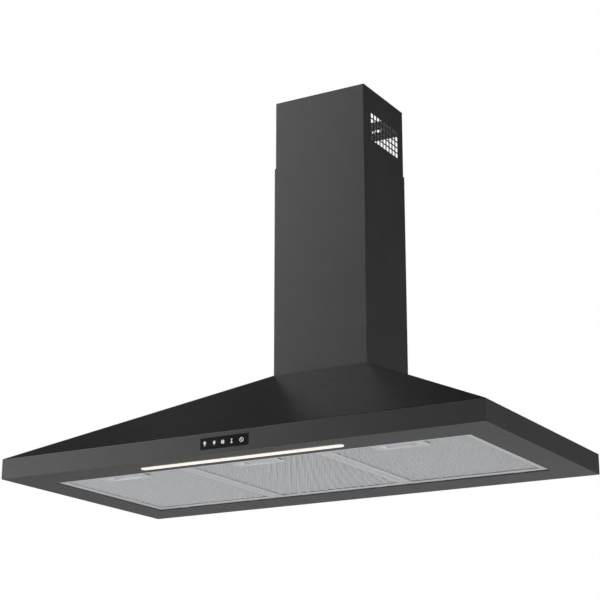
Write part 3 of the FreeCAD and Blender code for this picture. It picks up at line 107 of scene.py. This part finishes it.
class Finish(Shading):
    """One procedural finish: a Principled shader fed by patterns in the piece's own coordinates."""

    def __init__(self, name, **fixed):
        self.material = bpy.data.materials.new(name)
        super().__init__(self.material)
        self.shader = self.node("ShaderNodeBsdfPrincipled")
        self.node("ShaderNodeOutputMaterial", [("Surface", self.shader.outputs["BSDF"])])
        for socket, value in fixed.items():
            self.shader.inputs[socket.replace("_", " ")].default_value = value
        self.place = self.node("ShaderNodeTexCoord").outputs["Object"]

    def stretched(self, scale):
        """The piece's coordinates scaled unevenly, so that a pattern runs along one axis."""
        inputs = [("Vector", self.place), ("Scale", scale)]
        return self.node("ShaderNodeMapping", inputs).outputs["Vector"]

    def grain(self, per_metre, detail=3.0, roughness=0.55, place=None):
        """Cloudy noise with so many lumps to the metre."""
        inputs = [("Vector", place or self.place), ("Scale", per_metre)]
        inputs += [("Detail", detail), ("Roughness", roughness)]
        return self.node("ShaderNodeTexNoise", inputs).outputs["Fac"]

    def cells(self, per_metre, feature="F1", output="Color"):
        """Random cells, as zinc spangle or pebbled plastic has."""
        inputs = [("Vector", self.place), ("Scale", per_metre)]
        return self.node("ShaderNodeTexVoronoi", inputs, feature=feature).outputs[output]

    def bands(self, per_metre, axis, distortion=0.0):
        """Fine parallel bands across one axis."""
        inputs = [("Vector", self.place), ("Scale", per_metre), ("Distortion", distortion)]
        made = self.node("ShaderNodeTexWave", inputs, wave_type="BANDS", bands_direction=axis)
        return made.outputs["Fac"]

    def blend(self, pattern, dark, light, start=0.3, end=0.7):
        """The pattern as a colour between two colours."""
        ramp = self.node("ShaderNodeValToRGB", [("Fac", pattern)])
        for stop, position, colour in zip(ramp.color_ramp.elements, (start, end), (dark, light)):
            stop.position = position
            stop.color = (*colour, 1.0)
        return ramp.outputs["Color"]

    def feed(self, **patterns):
        """Links patterns to the shader's sockets."""
        for socket, pattern in patterns.items():
            self.tree.links.new(pattern, self.shader.inputs[socket.replace("_", " ")])
        return self

    def relief(self, pattern, height, strength):
        """Bumps of that height in metres."""
        inputs = [("Height", pattern), ("Distance", height), ("Strength", strength)]
        bump = self.node("ShaderNodeBump", inputs)
        return self.feed(Normal=bump.outputs["Normal"])


def grey(level, warm=0.0):
    """A near-neutral colour, a little warmer or cooler."""
    return (level * (1 + warm), level, level * (1 - warm))


def powder_coat():
    """Semi-gloss black powder coat: fine orange peel, faint clouding and a soft sheen."""
    coat = Finish("powder_coat", Specular_IOR_Level=0.5)
    cloud = coat.grain(14, 4)
    peel = coat.grain(1100, 2)
    coat.feed(Base_Color=coat.blend(cloud, grey(0.042), grey(0.048)))
    coat.feed(Roughness=coat.between(coat.grain(60, 3), 0.32, 0.36))
    return coat.relief(peel, 0.03 * MM, 0.35)


def galvanised():
    """Zinc-coated sheet: spangle cells of different grey and gloss."""
    zinc = Finish("zinc_spangle", Metallic=1.0)
    spangle = zinc.cells(110)
    zinc.feed(Base_Color=zinc.blend(spangle, grey(0.46, -0.01), grey(0.62, -0.01), 0.1, 0.9))
    zinc.feed(Roughness=zinc.between(spangle, 0.34, 0.50, 0.1, 0.9))
    return zinc.relief(zinc.grain(500), 0.02 * MM, 0.4)


def zinc_plated():
    """Bright zinc plate on screws and pins, with faint yellow passivation."""
    plate = Finish("zinc_plated", Metallic=1.0)
    tone = plate.grain(400, 4)
    plate.feed(Base_Color=plate.blend(tone, grey(0.52, 0.02), grey(0.66, 0.05)))
    plate.feed(Roughness=plate.between(tone, 0.28, 0.40))
    return plate.relief(plate.grain(2500), 0.01 * MM, 0.5)


def ground_steel():
    """Ground steel bar with fine rings across its length."""
    steel = Finish("ground_steel", Metallic=1.0)
    rings = steel.grain(1.0, 2, place=steel.stretched((3500, 60, 60)))
    steel.feed(Base_Color=steel.blend(rings, grey(0.55), grey(0.68)))
    steel.feed(Roughness=steel.between(rings, 0.18, 0.30))
    return steel.relief(rings, 0.01 * MM, 0.4)


def laminated_core():
    """Stack of varnished sheets seen on edge."""
    core = Finish("laminated_core", Metallic=0.8)
    sheets = core.bands(320, "X")
    core.feed(Base_Color=core.blend(sheets, grey(0.16, 0.04), grey(0.36, 0.02), 0.2, 0.8))
    core.feed(Roughness=core.between(core.grain(300), 0.40, 0.55))
    return core.relief(sheets, 0.05 * MM, 0.6)


def cast_aluminium():
    """Die-cast aluminium with a fine sandy skin."""
    cast = Finish("sandy_cast_aluminium", Metallic=1.0)
    skin = cast.grain(900, 4, 0.65)
    cast.feed(Base_Color=cast.blend(cast.grain(90), grey(0.56, -0.01), grey(0.68, -0.01)))
    cast.feed(Roughness=cast.between(skin, 0.42, 0.56))
    return cast.relief(skin, 0.05 * MM, 0.5)


def filter_aluminium():
    """Matt rolled aluminium, with rolling marks along Y."""
    rolled = Finish("rolled_aluminium", Metallic=1.0)
    marks = rolled.grain(1.0, 3, place=rolled.stretched((2600, 90, 900)))
    rolled.feed(Base_Color=rolled.blend(marks, grey(0.82, -0.02), grey(0.94, -0.02)))
    rolled.feed(Roughness=rolled.between(rolled.grain(120), 0.54, 0.64))
    return rolled.relief(marks, 0.01 * MM, 0.5)


def expanded_aluminium():
    """The same aluminium slit and stretched: a little duller, and clouded from strand to strand."""
    strand = Finish("expanded_aluminium", Metallic=1.0)
    dull = strand.grain(260, 3)
    strand.feed(Base_Color=strand.blend(dull, grey(0.77, -0.02), grey(0.88, -0.02)))
    strand.feed(Roughness=strand.between(strand.grain(90), 0.54, 0.66))
    return strand.relief(strand.grain(1600), 0.02 * MM, 0.4)


def moulded(name, dark, light, roughness):
    """Moulded plastic: faint flow clouds and a fine pebbled skin."""
    plastic = Finish(name, Specular_IOR_Level=0.45)
    plastic.feed(Base_Color=plastic.blend(plastic.grain(35, 4), dark, light))
    plastic.feed(Roughness=plastic.between(plastic.grain(200), roughness - 0.05, roughness + 0.05))
    return plastic.relief(plastic.cells(1400, output="Distance"), 0.02 * MM, 0.5)


def circuit_board(name, mask, track):
    """Circuit board: lacquer over a net of tracks that stand a hair proud."""
    board = Finish(name, Specular_IOR_Level=0.5)
    net = board.cells(260, "DISTANCE_TO_EDGE", "Distance")
    board.feed(Base_Color=board.blend(net, track, mask, 0.06, 0.10))
    board.feed(Roughness=board.between(board.grain(150), 0.28, 0.36))
    return board.relief(net, 0.03 * MM, 0.4)


def capacitor_can():
    """Glossy white capacitor case with a faint mottle."""
    can = Finish("capacitor_can", Specular_IOR_Level=0.5)
    can.feed(Base_Color=can.blend(can.grain(70), grey(0.74, 0.01), grey(0.80, 0.01)))
    can.feed(Roughness=can.between(can.grain(40), 0.20, 0.28))
    return can.relief(can.grain(300), 0.02 * MM, 0.2)


def opal_light():
    """Opal cover lit from behind: warm white with the light chips showing faintly."""
    opal = Finish("opal_light", Roughness=0.35, Emission_Strength=0.78)
    chips = opal.bands(9.0, "X")
    opal.feed(Base_Color=opal.blend(opal.grain(50), (0.66, 0.65, 0.61), (0.72, 0.71, 0.67)))
    opal.feed(Emission_Color=opal.blend(chips, (0.96, 0.90, 0.79), (1.0, 0.96, 0.87), 0.0, 1.0))
    return opal.relief(opal.grain(700), 0.01 * MM, 0.3)


def panel_glass():
    """Black glass with a coating against glare, and faint wiping marks in its gloss."""
    glass = Finish("black_glass", Specular_IOR_Level=0.12)
    wiped = glass.grain(1.0, 3, place=glass.stretched((30, 30, 160)))
    glass.feed(Base_Color=glass.blend(wiped, grey(0.018), grey(0.021)))
    glass.feed(Roughness=glass.between(wiped, 0.12, 0.22))
    return glass.relief(glass.grain(40), 0.01 * MM, 0.1)


def printed_symbol():
    """Grey-white symbols, lit a little from behind."""
    ink = Finish("printed_symbol", Roughness=0.5, Emission_Strength=0.4)
    ink.feed(Base_Color=ink.blend(ink.grain(900), grey(0.58), grey(0.66)))
    ink.feed(Emission_Color=ink.blend(ink.grain(500), grey(0.75, -0.02), grey(0.85, -0.02)))
    return ink


def rubber():
    """Matt rubber with a dusty bloom."""
    soft = Finish("dusty_rubber", Specular_IOR_Level=0.3)
    soft.feed(Base_Color=soft.blend(soft.grain(250, 4), grey(0.030), grey(0.046)))
    soft.feed(Roughness=soft.between(soft.grain(400), 0.70, 0.85))
    return soft.relief(soft.grain(1800), 0.03 * MM, 0.4)


def enamelled_copper():
    """Wound copper wire: strands side by side under clear enamel, with painted shade in the grooves
    between them.
    """
    wire = Finish("enamelled_copper", Metallic=1.0, Coat_Weight=0.4, Coat_Roughness=0.15)
    strands = wire.bands(420, "X", 1.5)
    # Painted shade: the copper is coloured darker where the bump pattern is low, in the grooves
    # between strands.
    wire.feed(Base_Color=wire.blend(strands, (0.36, 0.13, 0.06), (0.74, 0.36, 0.19), 0.1, 0.8))
    wire.feed(Roughness=wire.between(wire.grain(400), 0.28, 0.40))
    return wire.relief(strands, 0.2 * MM, 0.7)


def sheath():
    """Satin lead sheath with faint drawing marks."""
    skin = Finish("satin_sheath", Specular_IOR_Level=0.4)
    skin.feed(Base_Color=skin.blend(skin.grain(80), grey(0.075), grey(0.105)))
    skin.feed(Roughness=skin.between(skin.grain(300), 0.42, 0.52))
    return skin.relief(skin.grain(1200), 0.02 * MM, 0.3)


FINISHES = {
    "black_steel": powder_coat(),
    "galvanised_steel": galvanised(),
    "screw_steel": zinc_plated(),
    "shaft_steel": ground_steel(),
    "core_steel": laminated_core(),
    "cast_aluminium": cast_aluminium(),
    "filter_aluminium": filter_aluminium(),
    "collar_plastic": moulded("collar_grey", grey(0.040), grey(0.056), 0.50),
    "impeller_plastic": moulded("wheel_grey", grey(0.100), grey(0.130), 0.50),
    "box_plastic": moulded("box_white", grey(0.66, 0.015), grey(0.73, 0.015), 0.48),
    "board_green": circuit_board("green_lacquer", (0.035, 0.20, 0.09), (0.09, 0.34, 0.15)),
    "board_white": circuit_board("white_lacquer", grey(0.80, 0.01), grey(0.66, 0.02)),
    "capacitor_white": capacitor_can(),
    "light_cover": opal_light(),
    "panel_glass": panel_glass(),
    "grommet_rubber": rubber(),
    "winding_copper": enamelled_copper(),
    "lead_sheath": sheath(),
    "printed_symbol": printed_symbol(),
    "mesh_strand": expanded_aluminium(),
}


def give(piece, finish):
    """Puts a finish on every material place of a piece."""
    material = FINISHES[finish].material
    if not piece.material_slots:
        piece.data.materials.append(material)
    for place in piece.material_slots:
        place.material = material


for part in frame["record"]["subparts"]:
    give(nodes[part["node"]], part["material_slot"])


# ---- Putting worked-out surfaces into meshes ----


def linked(name, points, faces):
    """An object in the scene with a mesh of these points and faces."""
    mesh = bpy.data.meshes.new(name)
    mesh.from_pydata(points, [], faces)
    made = bpy.data.objects.new(name, mesh)
    bpy.context.scene.collection.objects.link(made)
    return made


def piece_of(name, points, faces, finish):
    """A piece from whole arrays of points and faces, with its finish."""
    made = linked(name, points.reshape(-1, 3).tolist(), faces.tolist())
    made.data.validate()
    give(made, finish)
    return made


# ---- Expanded mesh of the filters ----

CELL = (5.4 * MM, 9.4 * MM)  # short way along X, long way along Y
STRAND = (1.35 * MM, 0.40 * MM)  # width and thickness
STRAND_LIE = math.radians(20)  # turn of the strands in their slits
KNUCKLE = 0.7  # distance between two strands' middles where they meet, in strand widths
CRIMP_MIDDLE = -0.235  # y at the middle of the filters
CRIMP_FAN = (71.0, 38.0, -70.0, 60.0, -58.0)  # crimps by x, y, xy, x2 and y2, in metres from there
CRIMP_REACH = 0.20  # from the middle to half the crimps' depth
PINCH = 14.0 * MM  # width of the margin where a layer is pressed flat towards its frame
PINCH_CLEAR = 0.45 * MM  # height of a pressed strand's middle over the frame's lip
LAYER_CLEAR = 1.2 * MM  # the same away from the margin, for the two outer layers
LOWER, MIDDLE, UPPER = 1, 0, -1  # which lip a layer is pressed to, and which way its strands turn
LAYERS = {  # each layer's lip, and the depth of its crimps
    "lower": (LOWER, 1.15 * MM),
    "middle": (MIDDLE, 3.0 * MM),
    "upper": (UPPER, 1.15 * MM),
}
CUP_CLEAR = (34.0 * MM, 40.5 * MM)  # half width, and depth from the filter's front


def strands(low, high, lift, hole):
    """Expanded metal between two corners.

    Strand j runs along Y at x = x_j + s_j w(y), with s_j = +1 or -1 in turn and w a wave with flat
    knuckles, so neighbours meet at every knuckle and leave a diamond between. lift(x, y) gives the
    height of the strand's middle and the lie of its section, a flat bar turned by that angle, and
    hole gives the place left out for the cup: its middle and half width along X, and where it ends
    along Y.
    """
    short, long = CELL
    count = int(round((high[0] - low[0]) / (short / 2))) - 1
    middles = np.linspace(low[0] + short / 2, high[0] - short / 2, count)
    steps = int(round((high[1] - low[1]) / (long / 4)))
    along = np.linspace(low[1], high[1], steps + 1)
    wave = np.array([-1.0, -1.0, 1.0, 1.0])[np.arange(steps + 1) % 4]
    turned = np.where(np.arange(count) % 2 == 0, 1.0, -1.0)
    reach = short / 4 - STRAND[0] * KNUCKLE / 2
    x = middles[:, None] + turned[:, None] * wave[None, :] * reach
    y = np.broadcast_to(along[None, :], x.shape)
    z, lie = (part[..., None] for part in lift(x, y))
    corners = np.array([(-1, -1), (1, -1), (1, 1), (-1, 1)], float)
    across = corners[:, 0] * STRAND[0] / 2
    up = corners[:, 1] * STRAND[1] / 2
    px = x[..., None] + across * np.cos(lie) - up * np.sin(lie)
    pz = z + across * np.sin(lie) + up * np.cos(lie)
    py = np.broadcast_to(y[..., None], px.shape)
    points = np.stack([px, py, pz], axis=-1)
    row = np.arange(count)[:, None]
    step = np.arange(steps)[None, :]
    blocked = np.abs(middles - hole[0])[:, None] < hole[1]
    keep = ~(blocked & (along[None, :-1] < hole[2]))
    base = (row * (steps + 1) + step) * 4
    sides = [
        np.stack([base + a, base + b, base + 4 + b, base + 4 + a], axis=-1)
        for a, b in ((0, 1), (1, 2), (2, 3), (3, 0))
    ]
    walls = np.concatenate([s[keep] for s in sides])
    first = np.argmax(keep, axis=1)
    start = (np.arange(count) * (steps + 1) + first) * 4
    end = (np.arange(count) * (steps + 1) + steps) * 4
    near = np.stack([start + k for k in (0, 1, 2, 3)], axis=-1)
    far = np.stack([end + k for k in (3, 2, 1, 0)], axis=-1)
    faces = np.concatenate([walls[:, ::-1], near, far])
    used, numbers = np.unique(faces, return_inverse=True)
    return points.reshape(-1, 3)[used], numbers.reshape(faces.shape)


def crimped(low, high, place, depth):
    """A crimped layer: z is a sine wave of the fan's phase, and each strand lies along its slope.

    The phase, counted in crimps, is a quadratic of x and y, so the ridges fan out from right to
    left. The crimps get shallower to both sides, by 1 / (1 + d^2), where d is x over CRIMP_REACH.
    In the margin along the frame they run out evenly to nothing, and an outer layer goes to its
    lip. The strands of the outer layers are turned in their slits too, each layer to its own side.
    """
    middle, lip = {
        LOWER: (low[2] + LAYER_CLEAR, low[2] + PINCH_CLEAR),
        MIDDLE: ((low[2] + high[2]) / 2, (low[2] + high[2]) / 2),
        UPPER: (high[2] - LAYER_CLEAR, high[2] - PINCH_CLEAR),
    }[place]

    def lift(x, y):
        back = y - CRIMP_MIDDLE
        by_x, by_y, by_xy, by_xx, by_yy = CRIMP_FAN
        phase = by_x * x + by_y * back + by_xy * x * back + by_xx * x**2 + by_yy * back**2
        per_x = by_x + by_xy * back + 2 * by_xx * x
        off_sides = np.minimum(x - low[0], high[0] - x)
        off_ends = np.minimum(y - low[1], high[1] - y)
        free = np.clip(np.minimum(off_sides, off_ends) / PINCH, 0, 1)
        swing = free * depth / 2 / (1 + (x / CRIMP_REACH) ** 2)
        slope = swing * 2 * math.pi * per_x * np.cos(2 * math.pi * phase)
        height = lip + (middle - lip) * free + swing * np.sin(2 * math.pi * phase)
        return height, np.arctan(slope) + place * STRAND_LIE

    return lift


for name in FILTERS:
    low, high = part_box("filter_mesh_" + name)
    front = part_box("filter_frame_" + name)[0][1]
    hole = ((low[0] + high[0]) / 2, CUP_CLEAR[0], front + CUP_CLEAR[1])
    for layer, (place, depth) in LAYERS.items():
        points, faces = strands(low, high, crimped(low, high, place, depth), hole)
        title = "mesh_" + layer + "_" + name
        piece = piece_of(title, points, faces, "mesh_strand")
        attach(piece, "filter_" + name)
        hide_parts("filter_mesh_" + name)


# ---- Springs of the filter latches ----

SPRING_WIRE = 0.25 * MM  # the wire's radius
SPRING_TURNS = 4
SPRING_STEPS = 20  # rings of points to a turn
SPRING_RING = 8  # points to a ring
SPRING_CAP = np.array([(3, 2, 1, 0), (7, 4, 3, 0), (7, 6, 5, 4)])  # faces that close a ring


def coil(low, high):
    """Spring wire wound round the Y axis, filling the box between two corners.

    The wire's middle is at angle t along the turns, at the coil's radius from the axis, and moves
    evenly from front to back. Round it goes a ring of points, and both ends are closed.
    """
    count = SPRING_TURNS * SPRING_STEPS + 1
    turn = np.linspace(0, 2 * math.pi * SPRING_TURNS, count)[:, None]
    round_wire = np.arange(SPRING_RING)[None, :] * 2 * math.pi / SPRING_RING
    middle = (low + high) / 2
    radius = (high[0] - low[0]) / 2 - SPRING_WIRE + SPRING_WIRE * np.cos(round_wire)
    along = np.linspace(low[1] + SPRING_WIRE, high[1] - SPRING_WIRE, count)[:, None]
    x = middle[0] + radius * np.cos(turn)
    y = along + SPRING_WIRE * np.sin(round_wire)
    z = middle[2] + radius * np.sin(turn)
    ring = np.arange(count - 1)[:, None] * SPRING_RING
    here = ring + np.arange(SPRING_RING)
    after = ring + (np.arange(SPRING_RING) + 1) % SPRING_RING
    walls = np.stack([after, after + SPRING_RING, here + SPRING_RING, here], axis=-1)
    far_cap = (count - 1) * SPRING_RING + SPRING_CAP[:, ::-1]
    faces = np.concatenate([walls.reshape(-1, 4), SPRING_CAP, far_cap])
    return np.stack([x, y, z], axis=-1), faces


for name in FILTERS:
    low, high = (np.array(corner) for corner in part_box("latch_spring_" + name))
    points, faces = coil(low, high)
    spring = piece_of("coil_" + name, points, faces, "shaft_steel")
    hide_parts("latch_spring_" + name)
    middle = (low + high) / 2
    front = (middle[0], low[1] + 2 * SPRING_WIRE, middle[2])
    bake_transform(spring)


# ---- Symbols of the touch panel ----

SYMBOL_Z = 17.6 * MM
SYMBOL_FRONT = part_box("control_glass")[0][1] - 0.06 * MM
SYMBOL_BACK = SYMBOL_FRONT + 0.10 * MM


def two_faces(drawn):
    """Points drawn in millimetres as (x, z), put at a symbol's front and then again at its back."""
    front = np.insert(drawn * MM, 1, SYMBOL_FRONT, axis=1)
    back = np.insert(drawn * MM, 1, SYMBOL_BACK, axis=1)
    return np.vstack([front, back])


def slab(outline):
    """A flat shape: its outline joined to its middle as a fan, front and back, and its wall."""
    count = len(outline)
    at = np.arange(count)
    after = (at + 1) % count
    middle = np.full(count, count)
    over = count + 1
    faces = [
        np.stack([at, after, middle], axis=-1),
        np.stack([after + over, at + over, middle + over], axis=-1),
        np.stack([at, at + over, after], axis=-1),
        np.stack([after, at + over, after + over], axis=-1),
    ]
    return two_faces(np.vstack([outline, outline.mean(axis=0)])), np.concatenate(faces)


def stroke(path, width):
    """A line of even width along a path, its points down one side and then down the other."""
    path = np.asarray(path, float)
    slope = np.gradient(path, axis=0)
    slope /= np.linalg.norm(slope, axis=1, keepdims=True)
    normal = np.column_stack([-slope[:, 1], slope[:, 0]]) * width / 2
    count = len(path)
    over = 2 * count
    left = np.arange(count - 1)
    right = left + count
    faces = [
        np.stack([right, right + 1, left + 1, left], axis=-1),
        np.stack([left + over, left + 1 + over, right + 1 + over, right + over], axis=-1),
        np.stack([left + 1 + over, left + over, left, left + 1], axis=-1),
        np.stack([right + over, right + 1 + over, right + 1, right], axis=-1),
        np.array([(over, count + over, count, 0)]),
        np.array([(over - 1, 2 * over - 1, count - 1 + over, count - 1)]),
    ]
    return two_faces(np.vstack([path + normal, path - normal])), np.concatenate(faces)


def arc(cx, cz, radius, start, end, tall=1.0, count=25):
    """Points of an arc from one angle to another, in degrees."""
    turn = np.radians(np.linspace(start, end, count))
    return np.column_stack([cx + radius * np.cos(turn), cz + radius * tall * np.sin(turn)])


def bulb():
    """Light bulb: a solid globe that narrows to its neck, and two lines for its cap."""
    globe = np.vstack([arc(0, 1.4, 2.5, -40, 220, 1.1), [(-1.2, -2.0), (1.2, -2.0)]])
    collar = [(-1.2, -2.75), (1.2, -2.75)]
    cap = [(-0.8, -3.75), (0.8, -3.75)]
    return [slab(globe), stroke(collar, 0.7), stroke(cap, 0.7)]


def leaf():
    """Leaf on a stem, its blade between two arcs."""
    right = arc(-1.0, 0.7, 3.3, -72, 72, 1.0, 13)
    left = arc(1.0, 0.7, 3.3, 108, 252, 1.0, 13)
    stem = [(-0.1, -1.9), (-0.3, -3.3)]
    return [slab(np.vstack([right, left])), stroke(stem, 0.8)]


def split_disc():
    """Round fan, split down its middle."""
    return [slab(arc(0.3, 0, 2.8, -90, 90, 1.2)), slab(arc(-0.3, 0, 2.8, 90, 270, 1.2))]


def hourglass():
    """Timer: two triangles that meet, the lower one larger."""
    upper = np.array([(-0.5, 0.3), (0.5, 0.3), (1.5, 3.5), (-1.5, 3.5)])
    lower = np.array([(-2.3, -3.5), (2.3, -3.5), (0.5, 0.3), (-0.5, 0.3)])
    return [slab(upper), slab(lower)]


def crossed_ring():
    """Off symbol: a ring with a stroke across it."""
    ring = arc(0, 0, 3.3, 0, 360, 1.0, 41)
    bar = [(-2.3, 2.3), (2.3, -2.3)]
    return [stroke(ring, 1.1), stroke(bar, 1.0)]


SYMBOLS = {  # how each symbol is drawn, and its x in millimetres
    "symbol_light": (bulb, -37),
    "symbol_low": (leaf, -19),
    "symbol_high": (split_disc, -3),
    "symbol_timer": (hourglass, 13.5),
    "symbol_off": (crossed_ring, 32),
}

for title, (draw, x) in SYMBOLS.items():
    points, faces, used = [], [], 0
    for shape, sides in draw():
        points.append(shape + (x * MM, 0, SYMBOL_Z))
        faces += [[corner + used for corner in side] for side in sides.tolist()]
        used += len(shape)
    symbol = linked(title, np.vstack(points).tolist(), faces)
    give(symbol, "printed_symbol")
    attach(symbol, "hood")


# ---- Studio ----

FLOOR_Z = -3.0
FLOOR_HALF = 20.0  # half its side
FLOOR_SHOWS = 0.6  # how light the floor is to the eye and through glass with no lamp on it
FLOOR_GLOSS = 0.47  # the same in gloss
FLOOR_FADES = (5.0, 14.0)  # distances from the hood between which gloss loses it
HORIZON_FADES = (-0.05, 0.15)  # z of a ray's way between which gloss loses the white surround
WHITE = (1.0, 1.0, 1.0, 1.0)


def studio_floor():
    """Plain pale floor, a flat square.

    The eye and glass see it pale even far from the lamps, and gloss does within FLOOR_FADES of the
    hood's foot. That paleness lights nothing, and the lamps add theirs, less the hood's shadow.
    """
    corners = [(-1, -1), (1, -1), (1, 1), (-1, 1)]
    points = [(x * FLOOR_HALF, y * FLOOR_HALF, FLOOR_Z) for x, y in corners]
    floor = linked("floor", points, [(0, 1, 2, 3)])
    paint = Finish("floor_paint", Roughness=0.9, Specular_IOR_Level=0.2, Emission_Color=WHITE)
    paint.feed(Base_Color=paint.blend(paint.grain(1.5), grey(0.80), grey(0.82)))
    rays = paint.node("ShaderNodeLightPath").outputs
    away = paint.node("ShaderNodeVectorMath", [(0, paint.place)], operation="LENGTH")
    near = paint.between(away.outputs["Value"], FLOOR_GLOSS, 0.0, *FLOOR_FADES)
    gloss = paint.product(rays["Is Glossy Ray"], near)
    eye = paint.product(rays["Is Camera Ray"], FLOOR_SHOWS)
    through = paint.product(rays["Is Transmission Ray"], FLOOR_SHOWS)
    paint.feed(Emission_Strength=paint.larger(paint.larger(eye, through), gloss))
    floor.data.materials.append(paint.material)


def white_surround():
    """White behind the object for the eye and through glass.

    In gloss the same white shows up to the horizon and fades to dark a little above it, as in a
    studio with a white sweep and an unlit ceiling. It lights nothing else.
    """
    world = bpy.data.worlds.new("surround")
    bpy.context.scene.world = world
    sweep = Shading(world)
    way = sweep.node("ShaderNodeTexCoord").outputs["Generated"]
    rise = sweep.node("ShaderNodeSeparateXYZ", [("Vector", way)]).outputs["Z"]
    rays = sweep.node("ShaderNodeLightPath").outputs
    gloss = sweep.product(rays["Is Glossy Ray"], sweep.between(rise, 1.0, 0.0, *HORIZON_FADES))
    seen = sweep.larger(rays["Is Camera Ray"], rays["Is Transmission Ray"])
    inputs = [("Color", WHITE), ("Strength", sweep.larger(gloss, seen))]
    white = sweep.node("ShaderNodeBackground", inputs)
    sweep.node("ShaderNodeOutputWorld", [("Surface", white.outputs["Background"])])


SOFTBOX_AIM = np.array([0.0, -0.25, 0.25])
SOFTBOX_AWAY = 3.4
SOFTBOX_SIDE = 1.7


def softbox(name, around, above, level):
    """Square soft lamp aimed at the hood.

    around is its bearing in degrees from straight in front, positive to the right; above is its
    height in degrees over the middle of the hood; level is its brightness, where 1 is white.
    """
    lamp = bpy.data.lights.new(name, "AREA")
    lamp.shape = "SQUARE"
    lamp.size = SOFTBOX_SIDE
    lamp.energy = math.pi * SOFTBOX_SIDE**2 * level
    turn, rise = math.radians(around), math.radians(above)
    flat = math.cos(rise)
    way = np.array([math.sin(turn) * flat, -math.cos(turn) * flat, math.sin(rise)])
    holder = bpy.data.objects.new(name, lamp)
    bpy.context.scene.collection.objects.link(holder)
    holder.location = SOFTBOX_AIM + SOFTBOX_AWAY * way
    holder.rotation_euler = (math.pi / 2 - rise, 0, turn)


studio_floor()
white_surround()
softbox("key", -60, 36, 5.8)
softbox("low_front", -45, -12, 3.65)
softbox("front", -45, 12, 1.1)
softbox("top_front", -30, 36, 0.7)
softbox("right", 90, -12, 7.9)
softbox("back_left", -150, 12, 0.42)


# ---- Camera ----

CAMERA_AT = (1.40876, -2.67404, -0.54426)
CAMERA_TURN = (90 + 16.944, 0.01, 29.960)  # in degrees: 16.944 up from level
CAMERA_LENS = 100.942
CAMERA_SENSOR = 36.0
CAMERA_SEES = (0.05, 60.0)  # nearest and furthest

camera = bpy.data.cameras.new("camera")
camera.sensor_width = CAMERA_SENSOR
camera.lens = CAMERA_LENS
camera.clip_start, camera.clip_end = CAMERA_SEES
stand = bpy.data.objects.new("camera", camera)
bpy.context.scene.collection.objects.link(stand)
stand.location = CAMERA_AT
stand.rotation_euler = [math.radians(angle) for angle in CAMERA_TURN]
bpy.context.scene.camera = stand
bpy.context.scene.view_settings.view_transform = "Standard"

bpy.context.view_layer.update()
